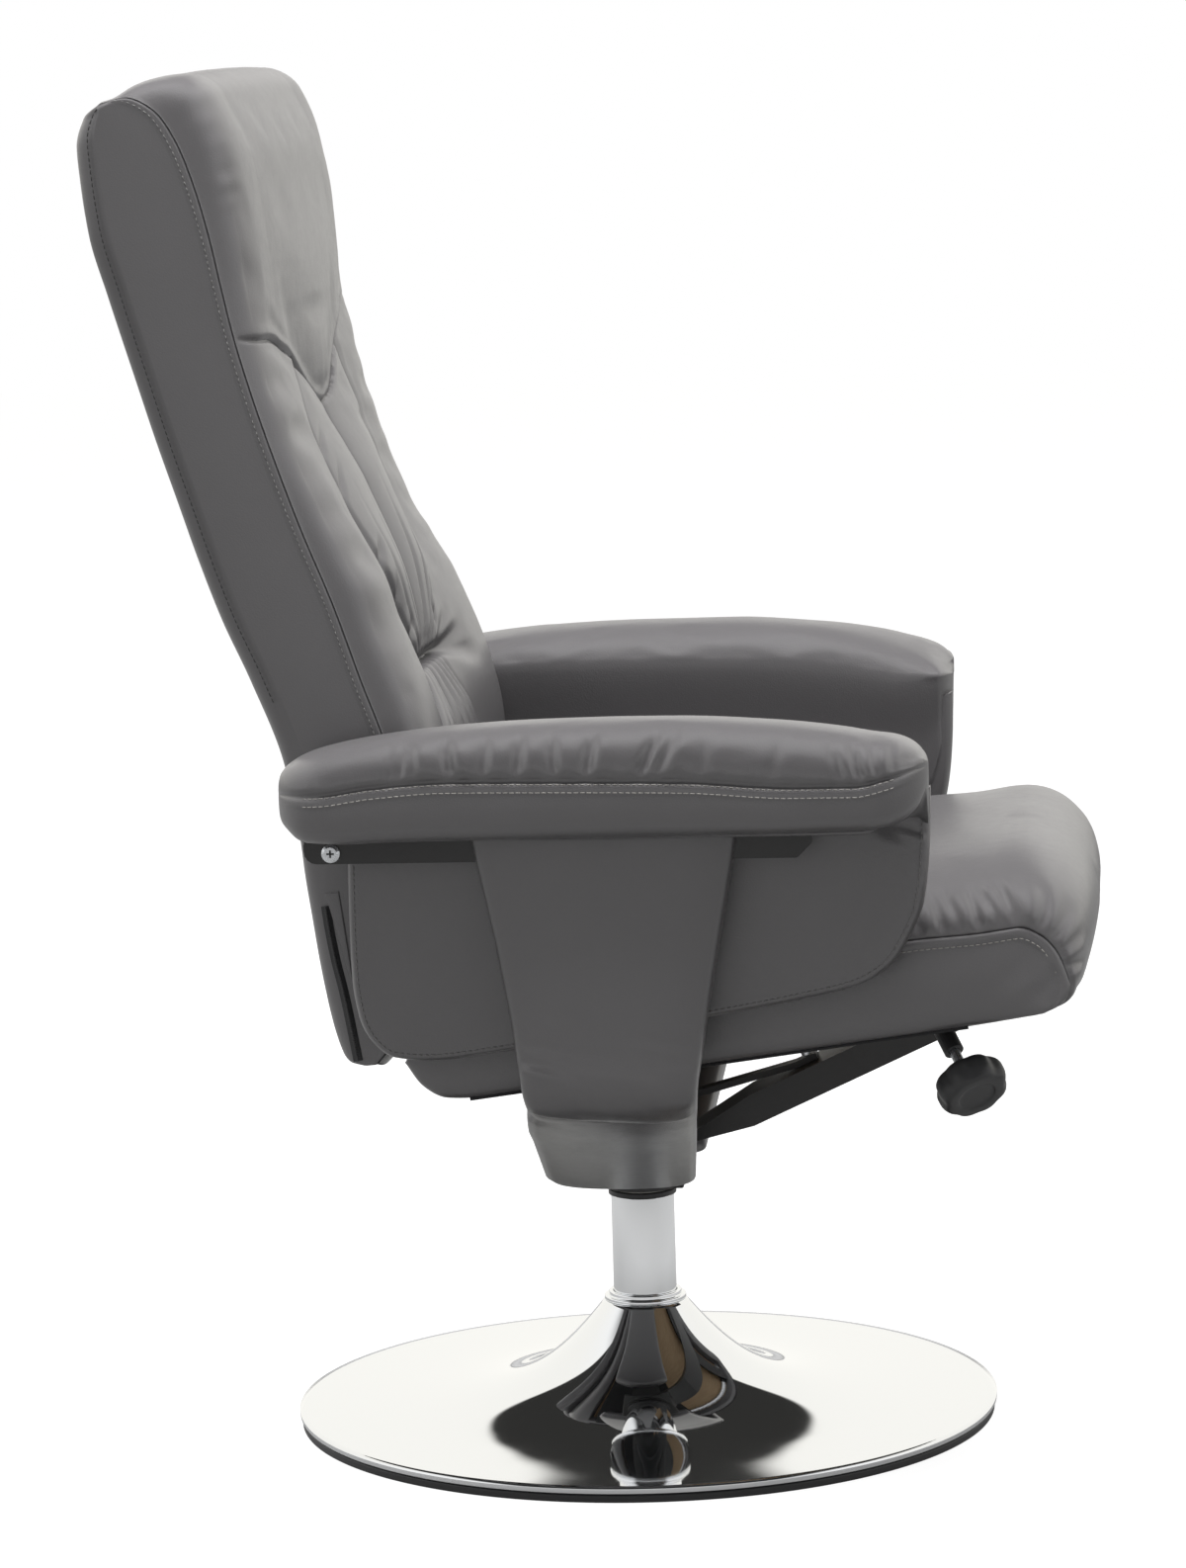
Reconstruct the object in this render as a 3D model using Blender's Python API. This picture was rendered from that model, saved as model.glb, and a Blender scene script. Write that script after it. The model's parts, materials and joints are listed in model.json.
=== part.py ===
"""Swivel recliner armchair on a round chrome pedestal. Metres, +X forward, +Z up, origin on the floor.

A dome, a column and a spindle carry a padded yoke with the arms. The back pivots on the rear ends of the
arm rails, and the seat slides forward on the strut under it as the back reclines.
"""

import math

import bmesh
import bpy
import numpy as np
from mathutils import Matrix, Vector

# Fits
GAP = 0.0003
TURNED_SIDES = 40
SMALL_SIDES = 20

# Pedestal
BASE_RADIUS = 0.277
RING_HEIGHT = 0.006
RING_WIDTH = 0.022
RING_INSET = 0.002
DOME_HEIGHT = 0.091
DOME_WALL = 0.002
DOME_LIP = 0.006
DOME_FLANGE = 0.012
NECK_SHOULDER = 0.0075
NECK_REACH = 0.060
NECK_DROP = 0.075
DISH_REACH = 0.155
DISH_RISE = 0.005
FOOT_PLATE_HEIGHT = 0.030
FOOT_PLATE_THICKNESS = 0.006
FOOT_PLATE_WELD = 0.0004
COLUMN_RADIUS = 0.025
COLUMN_WALL = 0.0025
COLUMN_TOP = 0.176
COLLAR_HEIGHT = 0.007
COLLAR_WIDTH = 0.007
PLUG_HEIGHT = 0.022
BOLT_RADIUS = 0.005
BOLT_HEAD_RADIUS = 0.0092
BOLT_HEAD_HEIGHT = 0.0065
BUSH_FLANGE = 0.004
BUSH_RIM = 0.002
BUSH_DEPTH = 0.055

# Swivel hub
SPINDLE_RADIUS = 0.012
WASHER_THICKNESS = 0.0015
WASHER_RADIUS = 0.024
BOSS_RADIUS = 0.030
BOSS_HEIGHT = 0.004
HUB_PLATE_LENGTH = 0.072
HUB_PLATE_WIDTH = 0.072
HUB_PLATE_THICKNESS = 0.005
HUB_PLATE_EDGE = 0.0015

# Seat
SEAT_WIDTH = 0.510
SEAT_TILT = math.radians(7.7)
SEAT_BOTTOM = 0.317
SEAT_REAR = -0.1440
SEAT_FRONT = 0.3785
SEAT_EDGE_DEPTH = 0.105
SEAT_CROWN = 0.014
SEAT_FRONT_ROLL = 0.100
SEAT_REAR_ROLL = 0.045
SEAT_REAR_LEAN = 0.044
SEAT_GIRTH = 0.068
SEAT_UNDER_POWER = 9
SEAT_TOP_POWER = 4.5
SEAT_ROLL_POWER = 2.2
SEAT_NOSE_POWER = 3.2
SEAT_END_DRAW = 0.1
SEAT_BORDER = 0.036
SEAT_HOLLOW_REAR = -0.105
SEAT_HOLLOW_FRONT = 0.300
SEAT_RECESS = 0.044
SEAT_BOARD_THICKNESS = 0.012
SLIDE_RAIL_INSET = 0.060
SLIDE_RAIL_WIDTH = 0.020
SLIDE_RAIL_HEIGHT = 0.010
SLIDE_RAIL_REAR = -0.070
SHOE_WALL = 0.004
SHOE_LENGTH = 0.060
SHOE_LIP = 0.006
CROSS_BAR_X = 0.250
CROSS_BAR_WIDTH = 0.040
CROSS_BAR_THICKNESS = 0.010
CROSS_BAR_OVERHANG = 0.018
DUST_COVER_THICKNESS = 0.0012
DUST_COVER_FRONT = 0.060
DUST_COVER_LAP = 0.013
DUST_COVER_REAR_LAP = 0.007
DUST_COVER_SAG = 0.024

# Yoke legs and arms
SEAT_SIDE_CLEARANCE = 0.007
PANEL_THICKNESS = 0.028
LEG_THICKNESS = 0.044
LEG_SLOPE_THICKNESS = 0.026
LEG_BEND_HEIGHT = 0.3178
LEG_FOOT_Y = 0.050
LEG_TOP_X = (-0.089, 0.106)
LEG_BEND_X = (-0.049, 0.070)
LEG_FOOT_X = (-0.064, 0.043)
BAR_WIDTH = 0.050
BAR_THICKNESS = 0.008
BAR_FLAT = 0.030
ARM_RAIL_TOP = 0.513
ARM_RAIL_HEIGHT = 0.020
ARM_RAIL_THICKNESS = 0.005
ARM_RAIL_FRONT = 0.160
ARM_RAIL_NOSE = 0.011
ARM_RAIL_TAIL = 0.020
ARM_RAIL_CORNERS = (0.0095, 0.004, 0.003, 0, 0.006)
ARM_BOARD_THICKNESS = 0.010
ARM_BOARD_INSET = 0.022
ARM_CREST = 0.592
ARM_SKIRT = 0.002
ARM_WIDTH = 0.112
ARM_REAR = -0.228
ARM_FRONT = 0.244
ARM_REAR_RISE = 0.120
ARM_FRONT_RISE = 0.060
ARM_REAR_FALL = 0.032
ARM_FRONT_FALL = 0.050
ARM_END_ROUND = 0.046
ARM_CROWN_POWER = 2.6
ARM_SKIRT_POWER = 5
PANEL_PIVOT_CLEARANCE = 0.002
PANEL_FRONT = 0.236
PANEL_LOW_REAR = 0.331
PANEL_LOW_FRONT = 0.399
PANEL_REAR_CORNER = 0.034
PANEL_FRONT_CORNER = 0.052
PANEL_EDGE = 0.009

# Front strut
STRUT_WIDTH = 0.056
STRUT_DEPTH = 0.026
STRUT_HEEL = 0.0285
STRUT_KNEE = 0.042
STRUT_KNEE_RISE = 0.0297
STRUT_BELLY = 0.092
STRUT_BELLY_RISE = 0.0425
STRUT_CREST = 0.088
STRUT_NOSE = 0.284
STRUT_NOSE_DEPTH = 0.039
STRUT_SHOULDER = 0.226
STRUT_TAIL_DEPTH = 0.026
BRACE_WIDTH = 0.016
BRACE_THICKNESS = 0.005
BRACE_FOOT = 0.038
BRACE_REACH = 0.125
BRACE_LIFT = 0.026
BRACE_BOLT_RADIUS = 0.004

# Clamp knob
CLAMP_FOOT_X = 0.2557
CLAMP_FOOT_Z = 0.3278
CLAMP_FOOT_OUT = 0.016
CLAMP_AXIS = Vector((0.40, -0.66, -0.66)).normalized()
FERRULE_RADIUS = 0.0075
FERRULE_LENGTH = 0.060
CLAMP_ROD_RADIUS = 0.004
CLAMP_ROD_GRIP = 0.012
CLAMP_ROD_SHOWN = 0.020
KNOB_RADIUS = 0.0275
KNOB_DEPTH = 0.024
KNOB_LOBES = 8
KNOB_SCALLOP = 0.0022
KNOB_PROFILE = ((0.36, 0.0), (0.84, 0.05), (1.0, 0.28), (1.0, 0.70), (0.86, 1.0), (0.52, 1.0),
                (0.46, 0.86))

# Back
PIVOT_X = -0.191
PIVOT_DROP = 0.0120
BACK_SIDE_INSET = 0.005
BACK_BOTTOM = 0.335
BACK_TOP = 1.054
BACK_WALL = 0.014
BACK_CUSHION_RISE = 0.010
BACK_END_ROLL = 0.030
BACK_LEAST_DEPTH = 0.001
STILE_RADIUS = 0.010
STILE_CLEARANCE = 0.0008
STILE_LIFT = 0.050
STILE_DROP = 0.064
BACK_RAIL_LIFT = 0.065
BACK_RAIL_DROP = 0.104
BACK_RAIL_SHARES = (0.0, 0.4727, 1.0)
BACK_RAIL_WIDTH = 0.020
BACK_RAIL_THICKNESS = 0.010
BACK_CORNER = 0.040
BACK_CORNER_DRAW = 0.030
BACK_EDGE = 0.018
PIVOT_PLATE_THICKNESS = 0.005
PIVOT_PLATE_REAR = 0.010
PIVOT_PLATE_FRONT = 0.028
PIVOT_PLATE_LENGTH = 0.070
PIVOT_PIN_RADIUS = 0.004
PIVOT_HEAD_RADIUS = 0.0068
PIVOT_HEAD_HEIGHT = 0.0035
SPACER_RADIUS = 0.0065
ZIP_LOW = 0.352
ZIP_LENGTH = 0.100
ZIP_WIDTH = 0.006
ZIP_THICKNESS = 0.0012

# Sewing of the back
HEADREST_DEPTH = 0.182
HEADREST_TONGUE = 0.060
LUMBAR_HEIGHT = 0.600
LUMBAR_DEPTH = 0.014
CENTRE_PANEL_HALF = 0.140
CHANNEL_WIDTH = 0.020
CHANNEL_DEPTH = 0.009

# Side view of the back, as (share of its height, x) points of its rear edge, front seam and front crown
REAR_EDGE_SHAPE = ((0.0, -0.199), (0.1182, -0.215), (0.2573, -0.230), (0.3964, -0.259), (0.6467, -0.323),
                   (0.8275, -0.360), (0.9388, -0.369), (1.0, -0.351))
FRONT_SEAM_SHAPE = ((0.0, -0.162), (0.1321, -0.143), (0.2573, -0.146), (0.3825, -0.170), (0.5494, -0.214),
                    (0.7441, -0.258), (0.8971, -0.283), (0.9527, -0.298), (1.0, -0.326))
FRONT_CROWN_SHAPE = ((0.0, 0.002), (0.1321, 0.010), (0.2851, 0.020), (0.3964, 0.020), (0.5216, 0.009),
                     (0.6745, 0.009), (0.7858, 0.017), (0.9110, 0.031), (0.9805, 0.033))

# Values that follow from the sizes above
DOME_SEAT = RING_HEIGHT + GAP
BUSH_TOP = COLUMN_TOP + GAP + BUSH_FLANGE
WASHER_TOP = BUSH_TOP + GAP + WASHER_THICKNESS
BOSS_TOP = WASHER_TOP + GAP + BOSS_HEIGHT
HUB_TOP = BOSS_TOP + GAP + HUB_PLATE_THICKNESS
BAR_FOOT = HUB_TOP + GAP + BAR_THICKNESS / 2
SEAT_HALF = SEAT_WIDTH / 2
PANEL_INNER = SEAT_HALF + SEAT_SIDE_CLEARANCE
PANEL_OUTER = PANEL_INNER + PANEL_THICKNESS
LEG_MIDDLE = PANEL_OUTER + GAP + LEG_THICKNESS / 2
BAR_OUTER = LEG_MIDDLE + BAR_THICKNESS / 2
RAIL_INNER = BAR_OUTER + GAP
RAIL_OUTER = RAIL_INNER + ARM_RAIL_THICKNESS
ARM_RAIL_BOTTOM = ARM_RAIL_TOP - ARM_RAIL_HEIGHT
ARM_MIDDLE = LEG_MIDDLE
BOARD_TOP = ARM_RAIL_TOP + GAP + ARM_BOARD_THICKNESS
PIVOT_Z = ARM_RAIL_TOP - PIVOT_DROP
SLIDE_RAIL_MIDDLE = SEAT_HALF - SLIDE_RAIL_INSET
CLAMP_FOOT = Vector((CLAMP_FOOT_X, -SLIDE_RAIL_MIDDLE - CLAMP_FOOT_OUT, CLAMP_FOOT_Z))
BACK_HALF = SEAT_HALF - BACK_SIDE_INSET
STILE_LOW = BACK_BOTTOM + STILE_LIFT
STILE_HIGH = BACK_TOP - STILE_DROP
BACK_RAIL_LOW = BACK_BOTTOM + BACK_RAIL_LIFT
BACK_RAIL_HIGH = BACK_TOP - BACK_RAIL_DROP
BACK_RAIL_HEIGHTS = [BACK_RAIL_LOW + share * (BACK_RAIL_HIGH - BACK_RAIL_LOW) for share in BACK_RAIL_SHARES]
BACK_HEIGHT = BACK_TOP - BACK_BOTTOM
REAR_EDGE = [(BACK_BOTTOM + share * BACK_HEIGHT, x) for share, x in REAR_EDGE_SHAPE]
FRONT_SEAM = [(BACK_BOTTOM + share * BACK_HEIGHT, x) for share, x in FRONT_SEAM_SHAPE]
FRONT_CROWN = [(BACK_BOTTOM + share * BACK_HEIGHT, x) for share, x in FRONT_CROWN_SHAPE]
HEADREST_EDGE = BACK_TOP - HEADREST_DEPTH
HEADREST_TIP = HEADREST_EDGE - HEADREST_TONGUE
SIDES = (("R", -1), ("L", 1))


def smooth(points, at):
    """A smooth curve through (place, value) points, its slopes taken from each point's neighbours."""
    places, values = np.array(points).T
    slopes = np.gradient(values, places)
    at = np.clip(np.asarray(at, float), places[0], places[-1])
    index = np.clip(np.searchsorted(places, at, side="right") - 1, 0, len(places) - 2)
    span = places[index + 1] - places[index]
    t = (at - places[index]) / span
    rise = t * t * (3 - 2 * t)
    bends = t * (1 - t) ** 2 * slopes[index] - t * t * (1 - t) * slopes[index + 1]
    return values[index] * (1 - rise) + values[index + 1] * rise + span * bends


def bump(value, centre, width):
    """1 at the centre, falling smoothly to 0 one width away."""
    return np.exp(-(((value - centre) / width) ** 2))


def round_end(places, end, length, power):
    """How much of its full size a form keeps near an end that is rounded over a length."""
    t = np.clip(1 - np.abs(places - end) / length, 0, 1)
    return (1 - t**power) ** (1 / power)


def square_ring(per_side):
    """Points round the square from -1 to 1, anticlockwise from a corner."""
    step = np.arange(per_side) * 2 / per_side - 1
    one = np.ones(per_side)
    sides = ((step, -one), (one, step), (-step, one), (-one, -step))
    return np.concatenate([np.stack(side, axis=1) for side in sides])


def soften(ring, power):
    """A square ring drawn in to a superellipse: the larger the power, the squarer it is."""
    return ring / (np.abs(ring) ** power).sum(axis=1, keepdims=True) ** (1 / power)


def fillet(outline, radii, steps=4):
    """An outline with each corner replaced by an arc of its own radius, where 0 keeps the corner."""
    corners = [Vector(point) for point in outline]
    points = []
    for index, corner in enumerate(corners):
        before = (corners[index - 1] - corner).normalized()
        after = (corners[(index + 1) % len(corners)] - corner).normalized()
        radius = radii[index]
        if radius == 0:
            points.append(corner)
            continue
        half = before.angle(after) / 2
        centre = corner + (before + after).normalized() * (radius / math.sin(half))
        start = corner + before * (radius / math.tan(half)) - centre
        finish = corner + after * (radius / math.tan(half)) - centre
        sweep = start.angle(finish)
        for step in range(steps + 1):
            share = step / steps
            weights = (math.sin((1 - share) * sweep), math.sin(share * sweep))
            points.append(centre + (start * weights[0] + finish * weights[1]) / math.sin(sweep))
    return points


def strip_outline(path, thickness):
    """The outline of a bent strip: its centre line offset to both sides, mitred at the bends."""
    path = np.array(path)
    steps = np.diff(path, axis=0)
    steps /= np.linalg.norm(steps, axis=1, keepdims=True)
    normals = np.stack([-steps[:, 1], steps[:, 0]], axis=1)
    before = np.concatenate([normals[:1], normals])
    after = np.concatenate([normals, normals[-1:]])
    mitres = (before + after) / (1 + (before * after).sum(axis=1, keepdims=True))
    sides = mitres * thickness / 2
    return np.concatenate([path + sides, (path - sides)[::-1]]), mitres


def finish(name, mesh_maker, material, parent):
    """A named object from a half-built mesh, with its faces turned outwards and its round faces smooth."""
    bmesh.ops.recalc_face_normals(mesh_maker, faces=mesh_maker.faces)
    mesh = bpy.data.meshes.new(name)
    mesh_maker.to_mesh(mesh)
    mesh_maker.free()
    mesh.shade_smooth()
    mesh.set_sharp_from_angle(angle=math.radians(40))
    mesh.materials.append(material)
    piece = bpy.data.objects.new(name, mesh)
    piece.parent = parent
    bpy.context.collection.objects.link(piece)
    return piece


def lofted(name, rings, material, parent, joined=False):
    """A skin over a row of rings, capped at both ends, or joined from the last ring to the first."""
    maker = bmesh.new()
    rows = [[maker.verts.new(point) for point in ring] for ring in rings]
    pairs = list(zip(rows, rows[1:]))
    if joined:
        pairs.append((rows[-1], rows[0]))
    else:
        maker.faces.new(rows[0])
        maker.faces.new(rows[-1])
    for first, second in pairs:
        for index in range(len(first)):
            maker.faces.new((first[index - 1], first[index], second[index], second[index - 1]))
    return finish(name, maker, material, parent)


def turned(name, profile, material, parent, sides=TURNED_SIDES, place=Matrix()):
    """A (radius, height) profile spun round Z: a ring, or solid where it starts and ends on the axis."""
    maker = bmesh.new()
    corners = [maker.verts.new((radius, 0, height)) for radius, height in profile]
    edges = [maker.edges.new(pair) for pair in zip(corners, corners[1:])]
    if profile[0][0] > 0:
        edges.append(maker.edges.new((corners[-1], corners[0])))
    bmesh.ops.spin(maker, geom=corners + edges, axis=(0, 0, 1), cent=(0, 0, 0), angle=math.tau, steps=sides,
                   use_merge=True)
    bmesh.ops.remove_doubles(maker, verts=maker.verts, dist=1e-6)
    bmesh.ops.transform(maker, matrix=place, verts=maker.verts)
    return finish(name, maker, material, parent)


def rod_profile(radius, low, high):
    """The profile of a solid round bar."""
    return ((0, low), (radius, low), (radius, high), (0, high))


def sleeve_profile(inner, outer, low, high):
    """The profile of a plain ring or tube."""
    return ((inner, low), (outer, low), (outer, high), (inner, high))


def plate(name, outline, axis, low, high, material, parent, bevel=0):
    """An outline in the plane across X, Y or Z, extruded along that axis from low to high."""
    maker = bmesh.new()
    order = {"X": (2, 0, 1), "Y": (0, 2, 1), "Z": (0, 1, 2)}[axis]
    for_axis = [(point[0], point[1], low) for point in outline]
    corners = [maker.verts.new([flat[index] for index in order]) for flat in for_axis]
    face = maker.faces.new(corners)
    grown = bmesh.ops.extrude_face_region(maker, geom=[face])["geom"]
    shift = [(0, 0, high - low)[index] for index in order]
    moved = [part for part in grown if isinstance(part, bmesh.types.BMVert)]
    bmesh.ops.translate(maker, vec=shift, verts=moved)
    piece = finish(name, maker, material, parent)
    if bevel:
        rounding = piece.modifiers.new("rounding", "BEVEL")
        rounding.width = bevel
        rounding.segments = 2
        rounding.limit_method = "ANGLE"
        rounding.angle_limit = math.radians(50)
    return piece


def box(name, low, high, material, parent, bevel=0):
    """A plain block between two corners."""
    outline = ((low[0], low[1]), (high[0], low[1]), (high[0], high[1]), (low[0], high[1]))
    return plate(name, outline, "Z", low[2], high[2], material, parent, bevel)


def cut(piece, cutter):
    """Takes one shape out of a piece and keeps the cutter as a wire guide."""
    cutter.hide_render = True
    cutter.display_type = "WIRE"
    knife = piece.modifiers.new("cut_" + cutter.name, "BOOLEAN")
    knife.operation = "DIFFERENCE"
    knife.solver = "EXACT"
    knife.object = cutter


def surface(name, colour, roughness, metallic=0.0):
    """A plain finish."""
    material = bpy.data.materials.new(name)
    material.use_nodes = True
    shader = material.node_tree.nodes["Principled BSDF"]
    shader.inputs["Base Color"].default_value = (*colour, 1)
    shader.inputs["Roughness"].default_value = roughness
    shader.inputs["Metallic"].default_value = metallic
    return material


def axis_empty(name, location, parent=None):
    """An empty on a joint's axis, or on a piece's own frame, that the pieces there hang from."""
    empty = bpy.data.objects.new(name, None)
    empty.location = location
    empty.parent = parent
    bpy.context.collection.objects.link(empty)
    return empty


def mirrored(side, points):
    """Points with their Y turned to one side of the chair, +1 left or -1 right of the sitter."""
    return np.asarray(points, float) * (1, side, 1)


def dome_curve(steps=14):
    """The outer profile of the dome as (radius, height), from its neck down to its rim, and its normals."""
    neck = np.array((COLUMN_RADIUS + GAP + NECK_SHOULDER, DOME_HEIGHT))
    rim = np.array((BASE_RADIUS, DOME_SEAT + DOME_LIP))
    handles = (neck, neck + (NECK_REACH, -NECK_DROP), rim + (-DISH_REACH, DISH_RISE), rim)
    t = np.linspace(0, 1, steps)[:, None]
    weights = ((1 - t) ** 3, 3 * t * (1 - t) ** 2, 3 * t * t * (1 - t), t**3)
    curve = sum(weight * handle for weight, handle in zip(weights, handles))
    along = np.gradient(curve, axis=0)
    along /= np.linalg.norm(along, axis=1, keepdims=True)
    return curve, np.stack([-along[:, 1], along[:, 0]], axis=1)


def add_pedestal(finishes, parent):
    """The floor ring, the dome, the plate inside it, the bolted column and its collar and bush."""
    curve, normals = dome_curve()
    inner = curve - normals * DOME_WALL
    bore = COLUMN_RADIUS + GAP
    flange = BASE_RADIUS - DOME_FLANGE
    profile = [(bore, DOME_HEIGHT), *curve, (BASE_RADIUS, DOME_SEAT), (flange, DOME_SEAT),
               (flange, DOME_SEAT + DOME_WALL), *inner[-2:0:-1], (bore, DOME_HEIGHT - DOME_WALL)]
    turned("base_dome", profile, finishes["chrome"], parent)
    ring_outer = BASE_RADIUS - RING_INSET
    turned("base_floor_ring", sleeve_profile(ring_outer - RING_WIDTH, ring_outer, 0, RING_HEIGHT),
           finishes["black_plastic"], parent)
    plate_radius = np.interp(-FOOT_PLATE_HEIGHT, -inner[:, 1], inner[:, 0]) - FOOT_PLATE_WELD
    plate_low = FOOT_PLATE_HEIGHT - FOOT_PLATE_THICKNESS
    bolt_hole = BOLT_RADIUS + GAP
    turned("foot_plate", sleeve_profile(bolt_hole, plate_radius, plate_low, FOOT_PLATE_HEIGHT),
           finishes["black_steel"], parent)
    column_low = FOOT_PLATE_HEIGHT + GAP
    column_bore = COLUMN_RADIUS - COLUMN_WALL
    turned("column_tube", sleeve_profile(column_bore, COLUMN_RADIUS, column_low, COLUMN_TOP),
           finishes["chrome"], parent)
    plug_top = column_low + PLUG_HEIGHT
    turned("column_plug", sleeve_profile(bolt_hole, column_bore - GAP, column_low, plug_top),
           finishes["zinc"], parent)
    head_top = plate_low - GAP
    head = head_top - BOLT_HEAD_HEIGHT
    bolt = ((0, head), (BOLT_HEAD_RADIUS, head), (BOLT_HEAD_RADIUS, head_top), (BOLT_RADIUS, head_top),
            (BOLT_RADIUS, plug_top), (0, plug_top))
    turned("column_bolt", bolt, finishes["zinc"], parent, SMALL_SIDES)
    low = DOME_HEIGHT + GAP
    step = low + COLLAR_HEIGHT / 2
    collar = ((bore, low), (bore + COLLAR_WIDTH, low), (bore + COLLAR_WIDTH, step),
              (bore + COLLAR_WIDTH / 2, step), (bore + COLLAR_WIDTH / 2, low + COLLAR_HEIGHT),
              (bore, low + COLLAR_HEIGHT))
    turned("column_collar", collar, finishes["chrome"], parent)
    bush_bore = SPINDLE_RADIUS + GAP
    sleeve = column_bore - GAP
    seat = COLUMN_TOP + GAP
    bush = ((bush_bore, COLUMN_TOP - BUSH_DEPTH), (sleeve, COLUMN_TOP - BUSH_DEPTH), (sleeve, seat),
            (COLUMN_RADIUS + BUSH_RIM, seat), (COLUMN_RADIUS + BUSH_RIM, BUSH_TOP), (bush_bore, BUSH_TOP))
    turned("column_bush", bush, finishes["black_plastic"], parent)


def add_hub(finishes, parent):
    """The spindle in the bush, the washer it turns on, and the boss and plate that carry the yoke."""
    turned("swivel_spindle", rod_profile(SPINDLE_RADIUS, COLUMN_TOP - BUSH_DEPTH, WASHER_TOP),
           finishes["zinc"], parent)
    washer = sleeve_profile(SPINDLE_RADIUS + GAP, WASHER_RADIUS, BUSH_TOP + GAP, WASHER_TOP)
    turned("thrust_washer", washer, finishes["nylon"], parent)
    boss = rod_profile(BOSS_RADIUS, WASHER_TOP + GAP, BOSS_TOP)
    turned("hub_boss", boss, finishes["black_steel"], parent)
    corner = (HUB_PLATE_LENGTH / 2, HUB_PLATE_WIDTH / 2)
    box("hub_plate", (-corner[0], -corner[1], BOSS_TOP + GAP), (*corner, HUB_TOP), finishes["black_steel"],
        parent, HUB_PLATE_EDGE)


def leg_path():
    """The centre line of one leg's bar as (y, z): flat on the hub, out and up, then straight up."""
    upright = [(LEG_MIDDLE, LEG_BEND_HEIGHT), (LEG_MIDDLE, ARM_RAIL_TOP)]
    return [(GAP, BAR_FOOT), (BAR_FLAT, BAR_FOOT), *upright]


def leg_cover_rings():
    """Rings of the padded cover: out along its outside, and back along the hollow that holds the bar."""
    flat, bend, top = (np.array(point) for point in leg_path()[1:])
    slope = (bend - flat) / np.linalg.norm(bend - flat)
    foot = flat + slope * (LEG_FOOT_Y - BAR_FLAT) / slope[0]
    mitres = strip_outline([foot, bend, top], BAR_THICKNESS)[1]
    square = square_ring(6)
    slope_half = LEG_SLOPE_THICKNESS / 2
    upright_half = LEG_THICKNESS / 2
    stations = ((0.0, 0, slope_half, 0.86), (0.04, 0, slope_half, 1), (0.50, 0, slope_half, 1),
                (0.86, 0, slope_half, 1), (1.0, 1, (slope_half + upright_half) / 2, 1),
                (1.16, 2, upright_half, 1), (1.55, 2, upright_half, 1), (1.97, 2, upright_half, 1),
                (2.0, 2, upright_half, 0.94))
    rings = []
    for place, mitre, half, size in stations:
        centre = np.array([np.interp(place, (0, 1, 2), column) for column in np.stack([foot, bend, top]).T])
        edges = [np.interp(place, (0, 1, 2), column) for column in zip(LEG_FOOT_X, LEG_BEND_X, LEG_TOP_X)]
        ring = soften(square, 5) * size
        across = (edges[0] + edges[1]) / 2 + ring[:, 0] * (edges[1] - edges[0]) / 2
        depth = centre + mitres[mitre] * (ring[:, 1:] * half)
        rings.append(np.column_stack([across, depth]))
    for centre, mitre in zip((top, bend, foot), mitres[::-1]):
        depth = centre + mitre * (square[:, 1:] * (BAR_THICKNESS / 2 + GAP))
        rings.append(np.column_stack([square[:, 0] * (BAR_WIDTH / 2 + GAP), depth]))
    return rings


def add_leg(side, tag, finishes, parent):
    """One steel bar of the yoke and the padded cover round it, slotted at the top for the arm rail."""
    outline = strip_outline(leg_path(), BAR_THICKNESS)[0] * (side, 1)
    plate("yoke_bar_" + tag, outline, "X", -BAR_WIDTH / 2, BAR_WIDTH / 2, finishes["black_steel"], parent)
    rings = [mirrored(side, ring) for ring in leg_cover_rings()]
    cover = lofted("leg_cover_" + tag, rings, finishes["grey_leather"], parent, joined=True)
    slot_low = (ARM_REAR, min(side * LEG_MIDDLE, side * (RAIL_OUTER + GAP)), ARM_RAIL_BOTTOM - GAP)
    slot_high = (ARM_FRONT, max(side * LEG_MIDDLE, side * (RAIL_OUTER + GAP)), ARM_CREST)
    cut(cover, box("rail_slot_" + tag, slot_low, slot_high, finishes["black_steel"], parent))


def arm_pad_rings():
    """Rings of an arm pad from its rear end to its front end, crowned on top and square at the skirt."""
    offsets = np.array((0.001, 0.006, 0.016, 0.034, 0.064, 0.115))
    middle = np.linspace(ARM_REAR + 0.17, ARM_FRONT - 0.17, 3)
    places = np.concatenate([ARM_REAR + offsets, middle, ARM_FRONT - offsets[::-1]])
    skirt = ARM_RAIL_TOP + ARM_SKIRT
    girth = (skirt + ARM_CREST) / 2
    rises = round_end(places, ARM_REAR, ARM_REAR_RISE, 2) * round_end(places, ARM_FRONT, ARM_FRONT_RISE, 2)
    falls = round_end(places, ARM_REAR, ARM_REAR_FALL, 2) * round_end(places, ARM_FRONT, ARM_FRONT_FALL, 2)
    widths = round_end(places, ARM_REAR, ARM_END_ROUND, 2) * round_end(places, ARM_FRONT, ARM_END_ROUND, 2)
    square = square_ring(6)
    upper = soften(square, ARM_CROWN_POWER)
    lower = soften(square, ARM_SKIRT_POWER)
    shape = np.where(square[:, 1:] > 0, upper, lower)
    rings = []
    for place, rise, fall, width in zip(places, rises, falls, widths):
        depth = np.where(shape[:, 1] > 0, (ARM_CREST - girth) * rise, (girth - skirt) * fall)
        across = ARM_MIDDLE + shape[:, 0] * ARM_WIDTH / 2 * width
        rings.append(np.column_stack([np.full(len(across), place), across, girth + shape[:, 1] * depth]))
    return rings


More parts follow.
